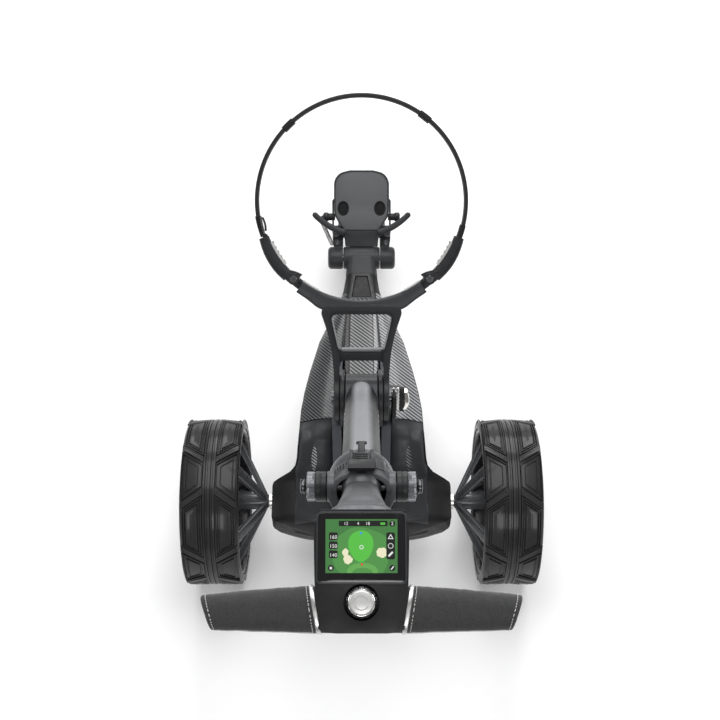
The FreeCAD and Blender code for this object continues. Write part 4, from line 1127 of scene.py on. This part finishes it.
def cradle():
    """Cradle plate with its window, the discs at its hinge and the fixed arc of the bag ring."""
    half = [(40, 0, 0), (40, 45, 20), (42.5, 80, 20), (48, 110, 30), (54, 131, 16), (57.5, 143, 5),
            (52, 152, 4), (40, 152, 6)]
    outline = rounded(half + [(-x, y, r) for x, y, r in reversed(half)], 8)[::-1]
    window = rounded([(-30.5, 74, 7), (30.5, 74, 7), (36, 98, 20), (44, 140.5, 12), (-44, 140.5, 12),
                      (-36, 98, 20)], 6)
    slot = rounded([(-32, -6, 0), (32, -6, 0), (32, 61, 9), (-32, 61, 9)], 6)
    frame_plate = slab(outline, -9, 9, holes=[window])
    cutter = join(slab(slot, -20, 20), brick((-31.5, 31.5), (58, 80), (0, 20)))
    plate = piece("cradle_plate", frame_plate, CRADLE, SHELL_GREY, None)
    tool = piece("cradle_slot", cutter, CRADLE, SHELL_GREY, None)
    trim = bpy.data.objects["cradle_plate"].modifiers.new("slot", "BOOLEAN")
    trim.object = tool
    trim.operation = "DIFFERENCE"
    trim.solver = "EXACT"
    trim.use_self = True
    edge = plate.modifiers.new("edge", "BEVEL")
    edge.width = 4.2 * MM
    edge.segments = 4
    edge.limit_method = "ANGLE"
    edge.angle_limit = math.radians(50)
    graph = bpy.context.evaluated_depsgraph_get()
    baked = bpy.data.meshes.new_from_object(plate.evaluated_get(graph))
    plate.modifiers.clear()
    plate.data = baked
    bpy.data.objects.remove(tool)
    plate.data.shade_smooth()
    plate.data.set_sharp_from_angle(angle=math.radians(40))
    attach(plate, "cradle")
    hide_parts("cradle_frame")
    ledge = brick((-29, 29), (74.2, 79), (-8, -2))
    piece("window_ledge", ledge, CRADLE, LEDGE, "cradle", bevel=1.2)
    inner = rounded([(31, 78, 0), (36.4, 98, 20), (44.4, 140.1, 12), (-44.4, 140.1, 12), (-36.4, 98, 20),
                     (-31, 78, 0)])
    outer = rounded([(33, 78, 0), (38.2, 98, 20), (46.4, 142.5, 12), (-46.4, 142.5, 12), (-38.2, 98, 20),
                     (-33, 78, 0)])
    lip = slab(outer + inner[::-1], 8.6, 10.2)
    piece("window_lip", lip, CRADLE, FRAME, "cradle", bevel=0.5, segments=2)
    discs = []
    for side, _ in SIDES:
        disc = lathe([(32.2, 6.4), (32.2, 34), (33.2, 35), (38.8, 35), (40.2, 33.6), (40.2, 27), (39, 26),
                      (39, 12), (40.2, 11), (40.2, 6.4)])
        discs.append(flipped(disc) if side < 0 else disc)
    piece("cradle_discs", join(*discs), CRADLE, FRAME, "cradle")

    def size(share):
        turn = abs(36 - 72 * share)
        grow = min(1.0, max(0.0, (turn - 6) / 13))
        thick = 11 + 7 * grow * grow * (3 - 2 * grow) + 5 * math.exp(-((turn - 21) / 6) ** 2)
        return thick, 19.5 + 7.5 * min(1.0, max(0.0, (turn - 24) / 10)), (thick - 11) / 2

    arc = ring_sweep(144, 234, 306, size, 72, 5.5)
    knuckles = []
    for side, _ in SIDES:
        angle = math.radians(-90 + side * 41.5)
        x, y = 144 * math.cos(angle), 144 * math.sin(angle)
        knuckles.append(lathe([(-15, 3.2), (-15, 7.6), (-14, 8.4), (-1.4, 8.4), (-0.5, 7.8), (-0.5, 3.2)],
                              "Z", 40, shift=(x, y, 0)))
        first, last = (234, 229.2) if side < 0 else (306, 310.8)
        knuckles.append(ring_sweep(144, first, last, lambda s: (14.5, 13.8, 1.6), 6, 3.2))
        for vert in knuckles[-1].verts:
            vert.co.z -= 7.6
    piece("cradle_arc", join(arc, *knuckles), BAG, SHELL_GREY, "cradle")
    insets = [ring_sweep(138.4, -90 + side * 26, -90 + side * 36.5, lambda s: (3.4, 15, 0), 12, 4)
              for side, _ in SIDES]
    piece("arc_insets", join(*insets), BAG, RUBBER, "cradle")
    screws = []
    for side, _ in SIDES:
        angle = math.radians(-90 + side * 41.5)
        screws.append(lathe([(-14, 0.1), (16.2, 0.1), (16.2, 1.6), (17.2, 2), (17.2, 4.2), (16.4, 5),
                             (15.2, 5), (15.2, 2.9), (-14, 2.9)], "Z", 32,
                             shift=(144 * math.cos(angle), 144 * math.sin(angle), 0)))
    piece("pad_screws", join(*screws), BAG, GUNMETAL, "cradle")


def pads():
    """Swinging ends of the bag ring, with their soft insets."""
    for side, word in SIDES:
        body = word + "_pad"
        near, far = (-90 + side * 44.5, -90 + side * 70)
        thick = lambda s: 14 + 4 * math.sin(math.pi * min(1, s * 0.72 + 0.25))
        size = lambda s: (thick(s), 26 - 7 * s, 0.6 + (thick(s) - 11) / 2)
        shell = ring_sweep(143.6, near, far, size, 40, 3.4)
        angle = math.radians(-90 + side * 41.5)
        x, y = 144 * math.cos(angle), 144 * math.sin(angle)
        knuckle = lathe([(0.6, 3.2), (0.6, 7.8), (1.4, 8.4), (14, 8.4), (15, 7.6), (15, 3.2)], "Z", 40,
                        shift=(x, y, 0))
        bridge = ring_sweep(144, -90 + side * 42.4, -90 + side * 47, lambda s: (14.5, 13.6, 1.6), 6, 3.2)
        for vert in bridge.verts:
            vert.co.z += 7.8
        tail = slab(rounded([(-2, -151, 3), (9, -149.5, 3), (15.5, -140, 3), (4, -134, 3),
                             (-6, -131, 3)]), 1.2, 12.8)
        tail = moved(flipped(tail) if side < 0 else tail, Matrix.Rotation(math.radians(side * 41.5), 4,
                                                                          "Z"))
        whole = join(shell, knuckle, bridge, tail)
        bmesh.ops.recalc_face_normals(whole, faces=whole.faces)
        piece("pad_shell_" + word, whole, BAG, FRAME, body, "swing_pad_" + word, bevel=0.5,
              segments=2)
        inner = ring_sweep(138.4, -90 + side * 50.5, -90 + side * 66, lambda s: (4.2, 18 - 3 * s, 0), 24,
                           4)
        ribs = [ring_sweep(135.9, -90 + side * (52 + 3.2 * k), -90 + side * (53.4 + 3.2 * k),
                           lambda s: (1.6, 14, 0), 4, 3) for k in range(5)]
        piece("pad_inset_" + word, join(inner, *ribs), BAG, RUBBER, body, "pad_rubber_" + word)


def strap():
    """Elastic strap from pad to pad, in two halves, with two keepers on it.

    The clip is fixed to the left pad and the end sleeve to the right pad.
    """
    for side, word in SIDES:
        low = -19.6 if side > 0 else 199.6
        band = ring_sweep(146.4, 90, low, lambda s: (5.8, 17.5, 0), 72, 5)
        shown = piece("strap_" + word, band, BAG, STRAP, None)
        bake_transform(shown)
        if side > 0:
            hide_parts("bag_strap")
    keepers = [ring_sweep(146.2, a - 3.6, a + 3.6, lambda s: (9.4, 20, 0), 8, 4) for a in (53, 134)]
    for bm, name, a in zip(keepers, ("keeper_right", "keeper_left"), (53, 134)):
        shown = piece(name, bm, BAG, BLACK, None)
        side = name[7:]
        low = math.radians(-19.6 if side == "right" else 199.6)
        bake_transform(shown)
    sleeve = ring_sweep(146.2, 188, 199.4, lambda s: (9 - 1.5 * s, 21, 0), 16, 4)
    hook = ring_sweep(140.5, 189, 197, lambda s: (3, 9, -1.5 * math.sin(math.pi * s)), 16, 3)
    knuckle = lathe([(-9, 0.2), (-9, 3.4), (9, 3.4), (9, 0.2)], "Z", 24,
                    shift=(143.5 * math.cos(math.radians(199.5)), 143.5 * math.sin(math.radians(199.5)),
                           0))
    piece("strap_clip", join(sleeve, hook, knuckle), BAG, GLOSS, "left_pad",
          bevel=0.3, segments=2)
    sleeve = ring_sweep(146, -20, -13, lambda s: (8.4, 20, 0), 12, 4)
    piece("strap_end", sleeve, BAG, BLACK, "right_pad")


# ---------------------------------------------------------------- handle

def handle_neck():
    """Horn-shaped neck from the collar up to the front edge of the console."""
    path = [(-6, 2, 18.5, 12), (-6, 12, 19, 13), (-7, 24, 19.6, 13), (-10.5, 40, 20.6, 12.5),
            (-15, 54, 22.2, 12), (-19.5, 66, 24.4, 11.5), (-24.5, 76, 27.6, 10.5), (-27, 84, 32, 9.5),
            (-29.5, 88, 37, 9), (-31.5, 91, 43.6, 8.3)]
    rings = []
    for step in range(49):
        place = step / 48 * (len(path) - 1)
        index = min(int(place), len(path) - 2)
        share = place - index
        before, after = path[max(index - 1, 0)], path[min(index + 2, len(path) - 1)]
        y, z, wide, deep = (spline(a, b, c, d, share) for a, b, c, d in
                            zip(before, path[index], path[index + 1], after))
        power = 2.1 + 1.6 * step / 48
        rings.append([Vector((a, y + b, z)) for a, b in section(2 * wide, 2 * deep, power, 64)])
    horn = faceted(rings)
    ball = lathe([(-22, 0.2)] + [(23.4 * math.sin(math.radians(a)), 23.4 * math.cos(math.radians(a)))
                                 for a in range(-70, 71, 7)] + [(22, 0.2)], "X", 64)
    whole = join(horn, ball)
    bmesh.ops.recalc_face_normals(whole, faces=whole.faces)
    piece("neck_horn", whole, HANDLE, COLLAR, "handle", "handle_neck")


def console():
    """Console case, the well of the dial, the display's bezel and pane, and the port flap."""
    half = [(38, -22.2, 0), (45, -23, 8), (49.6, -46, 30), (48.6, -96, 12), (45.2, -146, 6),
            (30, -149, 6)]
    outline = rounded(half + [(-x, y, r) for x, y, r in reversed(half)], 8)[::-1]
    low = rounded([(x * 0.9, y * 0.97 - 3, r) for x, y, r in half] +
                  [(-x * 0.9, y * 0.97 - 3, r) for x, y, r in reversed(half)], 8)[::-1]
    well = [(18.6 * math.cos(2 * math.pi * k / 64), -117.6 + 18.6 * math.sin(2 * math.pi * k / 64))
            for k in range(64)]
    body = slab(outline, 84, 91, holes=[well])
    body = piece("console_top", body, HANDLE, SHELL, "handle", bevel=1.6)
    levels = [(58.5, 0.0), (62, 0.35), (72, 0.8), (84.4, 1.0)]
    rings = []
    for z, share in levels:
        rings.append([Vector((a[0] + (b[0] - a[0]) * share, a[1] + (b[1] - a[1]) * share, z))
                      for a, b in zip(low, outline)])
    piece("console_shell", faceted(rings), HANDLE, SHELL, "handle", ("console_case", "grip_core"),
          bevel=0.8, segments=2)
    floor = lathe([(80.2, 0.2), (80.2, 18.4), (84.2, 18.6), (84.2, 19.2), (79, 19.2), (79, 0.2)], "Z", 64,
                  shift=(0, -117.6, 0))
    piece("dial_well", floor, HANDLE, BLACK, "handle")
    bezel = rounded([(-46.4, -24, 7), (46.4, -24, 7), (47.2, -98.8, 6), (-47.2, -98.8, 6)])[::-1]
    pane = rounded([(-44.8, -25.6, 6), (44.8, -25.6, 6), (45.4, -97, 5), (-45.4, -97, 5)])[::-1]
    piece("screen_bezel", slab(bezel, 90.2, 92.2, holes=[pane]), HANDLE, SHELL_GREY, "handle",
          bevel=0.5, segments=2)
    piece("screen_pane", slab(pane, 89.4, 92.0), HANDLE, GLASS, "handle", "display_glass",
          bevel=0.4, segments=2)
    tab = slab(rounded([(-13.2, -147.8, 1), (13.2, -147.8, 1), (13.2, -145.2, 1), (-13.2, -145.2, 1)]),
               61.2, 82.2)
    ribs = [brick((-8, 8), (-148.8, -147.6), (z, z + 1.2)) for z in (66, 69, 72)]
    piece("port_flap", join(tab, *ribs), HANDLE, BLACK, "cover", "port_cover", bevel=0.6,
          segments=2)


def grip_spot(share, angle, lift=0.0, seed=0.0):
    """A point on a grip's skin: share runs from the console to the tip, angle goes round it."""
    top = -101.9 - 7.5 * share - 2.5 * share ** 3
    bottom = -150.6 + 3.4 * share
    y, z = (top + bottom) / 2, 76.5 - 1.5 * share
    wide, deep = (top - bottom) / 2, 14.8 - 2.4 * share
    close = 1.0 if share < 0.965 else max(0.0, 1 - ((share - 0.965) / 0.035) ** 4) ** 0.25 * 0.94 + 0.06
    c, s = math.cos(angle), math.sin(angle)
    a = math.copysign(abs(c) ** (2 / 2.9), c) * (wide * close + lift)
    b = math.copysign(abs(s) ** (2 / 2.5), s) * (deep * close + lift)
    x = 45.4 + 124.5 * share + 0.17 * (a + 25) * (1 - share) ** 2 - 0.34 * (20 - a) * share ** 4
    if seed:
        fold = noise.noise(Vector((x * 0.075, (y + a) * 0.03 + seed, (z + b) * 0.05)))
        crease = noise.noise(Vector((x * 0.26 + a * 0.12, seed * 3, a * 0.05)))
        swell = 1 + (0.022 * fold + 0.012 * crease) * min(1.0, 12 * share * (1 - share))
        a, b = a * swell, b * swell
    return Vector((x, y + a, z + b))


def stitch(start, end):
    """A short length of thread between two points of a seam."""
    along = (end - start) * 0.62
    side = along.orthogonal().normalized()
    other = along.cross(side).normalized()
    rings = []
    for share, thick in ((0, 0.12), (0.2, 0.42), (0.8, 0.42), (1, 0.12)):
        middle = start + along * share
        rings.append([middle + (side * math.cos(turn) + other * math.sin(turn)) * thick
                      for turn in (0, 1.047, 2.094, 3.142, 4.189, 5.236)])
    return faceted(rings)


def trims():
    """Polished bands where the grips meet the console, with a root of shell plastic inside each."""
    for side, word in SIDES:
        rings = []
        for step in range(73):
            angle = 2 * math.pi * step / 72
            spot = grip_spot(0.0, angle, 0.5)
            rings.append([spot + Vector((-1.4 + a, b * math.cos(angle), b * math.sin(angle)))
                          for a, b in section(4.6, 1.7, 3, 10)])
        band = faceted(rings, caps=False)
        piece("trim_" + word, flipped(band) if side < 0 else band, HANDLE, TRIM, "handle")
        rings = []
        for step in range(9):
            inward = 14 - 14 * step / 8
            ring = []
            for number in range(48):
                spot = grip_spot(0.0, 2 * math.pi * number / 48, -0.4)
                ring.append(Vector((spot.x - inward, spot.y, spot.z)))
            rings.append(ring)
        root = faceted(rings)
        piece("grip_root_" + word, flipped(root) if side < 0 else root, HANDLE, SHELL, "handle")


def grips():
    """Padded leather grips with a stitched seam."""
    for side, word in SIDES:
        seed = 4.0 + side
        rings = [[grip_spot(step / 140, 2 * math.pi * k / 84, 0.0, seed) for k in range(84)]
                 for step in range(141)]
        hide = faceted(rings)
        shown = piece("leather_" + word, flipped(hide) if side < 0 else hide, HANDLE, LEATHER, "handle",
                      "grip_" + word)
        seams = [[(0.035, 2 * math.pi * k / 46) for k in range(46)],
                 [(0.945, 2 * math.pi * k / 40) for k in range(40)],
                 [(0.05 + 0.88 * k / 44, math.radians(152)) for k in range(44)],
                 [(0.05 + 0.88 * k / 44, math.radians(-152)) for k in range(44)]]
        stitches = []
        for seam in seams:
            for first, second in zip(seam, seam[1:] + seam[:1] if seam[0][0] == seam[1][0] else seam[1:]):
                start = grip_spot(*first, 0.3, seed)
                end = grip_spot(second[0], second[1] if second[1] >= first[1] else second[1]
                                + 2 * math.pi, 0.3, seed)
                stitches.append(stitch(start, end))
        sewn = join(*stitches)
        piece("stitching_" + word, flipped(sewn) if side < 0 else sewn, HANDLE, THREAD, "handle")


def dial():
    """Push-and-turn dial: stem, rim, edge, face and marks."""
    stem = lathe([(77.8, 0.2), (77.8, 4.7), (89.6, 4.7), (89.6, 0.2)], "Z", 40, shift=(0, -117, 0))
    piece("dial_shaft", stem, HANDLE, STEEL, "dial_button", "dial_stem")
    ring = lathe([(83.2, 5.4), (83.2, 16.4), (84.4, 16.9), (93.6, 16.9), (95.4, 16.4), (96.6, 15.2),
                  (96.9, 14.3), (96.2, 13.7), (91, 13.6), (91, 5.4)], "Z", 192, shift=(0, -117, 0))
    for vert in ring.verts:
        x, y = vert.co.x, vert.co.y + 117
        if math.hypot(x, y) > 15.0 and math.cos(14 * math.atan2(y, x)) > 0.9:
            vert.co.x *= 0.94
            vert.co.y = -117 + y * 0.94
    piece("dial_rim", ring, HANDLE, BLACK_CHROME, "dial", "dial_ring")
    edge = lathe([(96.2, 13.3), (96.2, 14.0), (97.2, 14.0), (97.5, 13.7), (97.2, 13.3)], "Z", 96,
                 shift=(0, -117, 0))
    cap = lathe([(91.2, 0.2), (91.2, 13.2), (96.6, 13.2), (97.8, 12.4), (98.3, 11), (98.4, 0.2)], "Z", 96,
                shift=(0, -117, 0))
    marks = []
    for first, last in ((25, 155), (205, 335)):
        rings = []
        for step in range(17):
            angle = math.radians(first + (last - first) * step / 16)
            rings.append([Vector(((7.4 + a) * math.cos(angle), -117 + (7.4 + a) * math.sin(angle),
                                  98.4 + b))
                          for a, b in section(1.3, 0.4, 2, 6)])
        marks.append(faceted(rings))
    piece("dial_edge", edge, HANDLE, CHROME, "dial")
    piece("dial_face", cap, HANDLE, SPUN, "dial", "dial_cap")
    piece("dial_marks", join(*marks), HANDLE, RUBBER, "dial")


def screen_picture():
    """A hole seen from above: rough, fairway, green, bunkers, distances and round icons."""
    base = 92.05
    left, right, low, high = -37.2, 37.2, -87.4, -32.2

    def layer(name, points, level, look):
        flat = slab(points, base + 0.06 * level, base + 0.06 * level + 0.05)
        piece("screen_" + name, flat, HANDLE, look, "handle", smooth=False)

    def blob(x, y, wide, tall, wobble=0.0, seed=0.0, count=48, egg=0.0):
        out = []
        for k in range(count):
            angle = 2 * math.pi * k / count
            r = 1 + wobble * noise.noise(Vector((math.cos(angle) * 1.5 + seed, math.sin(angle) * 1.5,
                                                 seed)))
            c, s = math.cos(angle), math.sin(angle)
            squeeze = 1 - egg * (0.5 - 0.5 * s)
            px, py = x + wide / 2 * c * r * squeeze, y + tall / 2 * s * r
            out.append((min(right, max(left, px)), min(high, max(low, py))))
        return out

    rough = lit("screen_rough", (0.055, 0.21, 0.05))
    fair = lit("screen_fairway", (0.08, 0.30, 0.065))
    light = lit("screen_light", (0.13, 0.42, 0.09))
    green = lit("screen_green", (0.10, 0.55, 0.06))
    sand = lit("screen_sand", (0.9, 0.86, 0.6))
    dark = lit("screen_bar", (0.008, 0.010, 0.008), 0.4)
    white = lit("screen_white", (0.85, 0.88, 0.85))
    blue = lit("screen_blue", (0.05, 0.3, 0.9))
    red = lit("screen_red", (0.8, 0.04, 0.02))
    layer("rough", [(left, low), (right, low), (right, high), (left, high)], 0, rough)
    layer("fairway", blob(0, -68, 62, 56, 0.12, 3.0), 1, fair)
    layer("apron", blob(1, -86, 32, 18), 2, light)
    layer("apron_tee", blob(1, -88, 22, 12), 3, fair)
    layer("green", blob(-0.6, -60.2, 31, 32, 0.05, 1.0, egg=0.34), 4, green)
    layer("bunker_a", blob(-16.5, -66.5, 6.4, 8.0, 0.2, 6.0), 4, sand)
    layer("bunker_b", blob(-14.2, -73.5, 9.4, 9.0, 0.3, 2.0), 5, sand)
    layer("bunker_c", blob(21, -66.5, 11.5, 10.4, 0.2, 8.0), 4, sand)
    layer("pin_top", blob(-0.5, -46.6, 2.4, 2.4), 6, blue)
    layer("pin_low", blob(0.5, -78.6, 2.4, 2.4), 6, red)
    ring = blob(0, -61, 4.4, 4.4)
    hole = blob(0, -61, 3.0, 3.0)
    flat = slab(ring, base + 0.42, base + 0.47, holes=[hole])
    piece("screen_ring", flat, HANDLE, white, "handle", smooth=False)

    def plate(name, x0, x1, y0, y1, radius):
        shape = rounded([(x0, y0, radius), (x1, y0, radius), (x1, y1, radius), (x0, y1, radius)])
        layer(name, shape, 7, dark)

    plate("bar", -23.5, 27, -39.4, -33.9, 1.2)
    for number in range(3):
        plate(f"pill_{number}", -33.6, -24.6, -54.2 - 9.2 * number + 0.4, -45.8 - 9.2 * number, 1.6)
    plate("tools", 25.6, 34.6, -73.4, -45.8, 2.4)
    for name, x, y in (("corner_a", -31.6, -82.2), ("corner_b", 31.8, -82.2), ("corner_c", 31.8, -36.8)):
        layer(name, blob(x, y, 6.2, 6.2), 7, dark)

    def words(name, text, x, y, height):
        """Small letters on the display, made into a flat mesh."""
        curve = bpy.data.curves.new(name, "FONT")
        curve.body = text
        curve.size = height * 1.35
        curve.align_x = "CENTER"
        curve.align_y = "CENTER"
        curve.resolution_u = 3
        held = bpy.data.objects.new(name, curve)
        bpy.context.scene.collection.objects.link(held)
        graph = bpy.context.evaluated_depsgraph_get()
        mesh = bpy.data.meshes.new_from_object(held.evaluated_get(graph))
        bpy.data.objects.remove(held)
        bm = bmesh.new()
        bm.from_mesh(mesh)
        bpy.data.meshes.remove(mesh)
        bm.transform(Matrix.Translation((x, y, base + 0.6)))
        piece("screen_" + name, bm, HANDLE, white, "handle", smooth=False)

    for number, text in enumerate(("160", "150", "140")):
        words(f"far_{number}", text, -29.1, -50.8 - 9.2 * number, 4.0)
    for name, text, x in (("hole", "12", -16), ("par", "4", -3.5), ("count", "18", 6.5)):
        words(name, text, x, -36.8, 3.4)
    words("corner", "2", 31.8, -36.8, 3.8)
    battery_icon = rounded([(19.5, -38, 0.5), (24.5, -38, 0.5), (24.5, -35.6, 0.5), (19.5, -35.6, 0.5)])
    layer("charge", battery_icon, 9, green)
    warn = rounded([(27, -52.6, 0.6), (33.2, -52.6, 0.6), (30.1, -47.2, 0.6)])
    warn_in = rounded([(28.3, -51.8, 0.3), (31.9, -51.8, 0.3), (30.1, -48.8, 0.3)])
    piece("screen_warn", slab(warn, base + 0.5, base + 0.56, holes=[warn_in]), HANDLE, white, "handle",
          smooth=False)
    disc = slab(blob(30.1, -59.6, 5.6, 5.6), base + 0.5, base + 0.56, holes=[blob(30.1, -59.6, 4.4, 4.4)])
    piece("screen_disc", disc, HANDLE, white, "handle", smooth=False)
    bar = rounded([(27.2, -69.6, 0.6), (28.6, -71, 0.6), (33, -66.4, 0.6), (31.6, -65, 0.6)])
    layer("tool", bar, 9, white)
    layer("pen", rounded([(30, -83.6, 0.3), (31, -84.2, 0.3), (33.6, -80.8, 0.3), (32.6, -80.2, 0.3)]), 9,
          white)
    layer("lock",
          rounded([(-32.8, -83.6, 0.4), (-30.4, -83.6, 0.4), (-30.4, -81, 0.4), (-32.8, -81, 0.4)]), 9,
          white)
    badge = slab(blob(-11, -27.7, 5.4, 5.4), base + 0.02, base + 0.1)
    piece("screen_badge", badge, HANDLE, white, "handle", smooth=False)


def hidden_parts():
    """Inner parts that keep their own shapes."""
    looks = {"drive_motor": RAIL, "gearbox": FRAME, "axle_bearing_left": STEEL,
             "axle_bearing_right": STEEL, "battery_shelf": BLACK, "front_pivot_pin": STEEL,
             "front_axle": STEEL, "handle_pin": STEEL, "half_axle_left": STEEL, "half_axle_right": STEEL}
    for node, look in looks.items():
        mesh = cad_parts[node].data
        mesh.materials.clear()
        mesh.materials.append(look)


# ---------------------------------------------------------------- studio

def studio():
    """Pale floor, soft lamps and the camera."""
    size = 9.0
    bm = bmesh.new()
    bmesh.ops.create_grid(bm, x_segments=2, y_segments=2, size=size)
    mesh = bpy.data.meshes.new("floor")
    bm.to_mesh(mesh)
    bm.free()
    floor = bpy.data.objects.new("floor", mesh)
    bpy.context.scene.collection.objects.link(floor)
    made, tree, shader, where = material("floor_paper")
    tone = noise_value(tree, where, 3.0)
    tree.links.new(mixed(tree, tone, (0.95, 0.95, 0.95), (0.97, 0.97, 0.97)), shader.inputs["Base Color"])
    shader.inputs["Roughness"].default_value = 0.9
    mesh.materials.append(made)
    world = bpy.data.worlds.new("studio")
    world.use_nodes = True
    world.node_tree.nodes["Background"].inputs["Color"].default_value = (1, 1, 1, 1)
    world.node_tree.nodes["Background"].inputs["Strength"].default_value = 0.21
    bpy.context.scene.world = world
    lights = [("top", (0.0, 0.7, 3.4), (0, 0.1, 0), 2.4, 72), ("front", (0.1, -3.0, 2.5), (0, -0.2, 0.4),
                                                               1.3, 30),
              ("right", (2.8, 0.2, 1.6), (0, 0.05, 0.4), 1.4, 30),
              ("left", (-2.8, 0.1, 1.6), (0, 0, 0.4), 1.4, 26), ("back", (0.2, 3.0, 1.9), (0, 0.1, 0.3),
                                                                 1.8, 60)]
    for name, spot, target, width, power in lights:
        lamp = bpy.data.lights.new("light_" + name, "AREA")
        lamp.shape = "SQUARE"
        lamp.size = width
        lamp.energy = power
        held = bpy.data.objects.new("light_" + name, lamp)
        held.location = spot
        held.rotation_euler = (Vector(target) - Vector(spot)).to_track_quat("-Z", "Y").to_euler()
        bpy.context.scene.collection.objects.link(held)
    camera = bpy.data.cameras.new("camera")
    camera.sensor_width = 36
    camera.lens = 61.8
    camera.shift_x = -1.5 / 720
    held = bpy.data.objects.new("camera", camera)
    held.location = (0, (AXLE_Y - 846) * MM, 2.0867)
    held.rotation_euler = (math.radians(30), 0, 0)
    bpy.context.scene.collection.objects.link(held)
    bpy.context.scene.camera = held
    bpy.context.scene.view_settings.view_transform = "Standard"


chassis_shell()
carbon_deck()
spine()
tower()
neck()
latch()
battery()
for wheel_side, wheel_word in SIDES:
    tyre(wheel_side, wheel_word)
    rim(wheel_side, wheel_word)
front_wheel()
front_carrier()
bag_plate()
lower_arms()
shaft()
knobs()
clip()
cradle()
pads()
strap()
handle_neck()
console()
trims()
grips()
dial()
screen_picture()
hidden_parts()
studio()
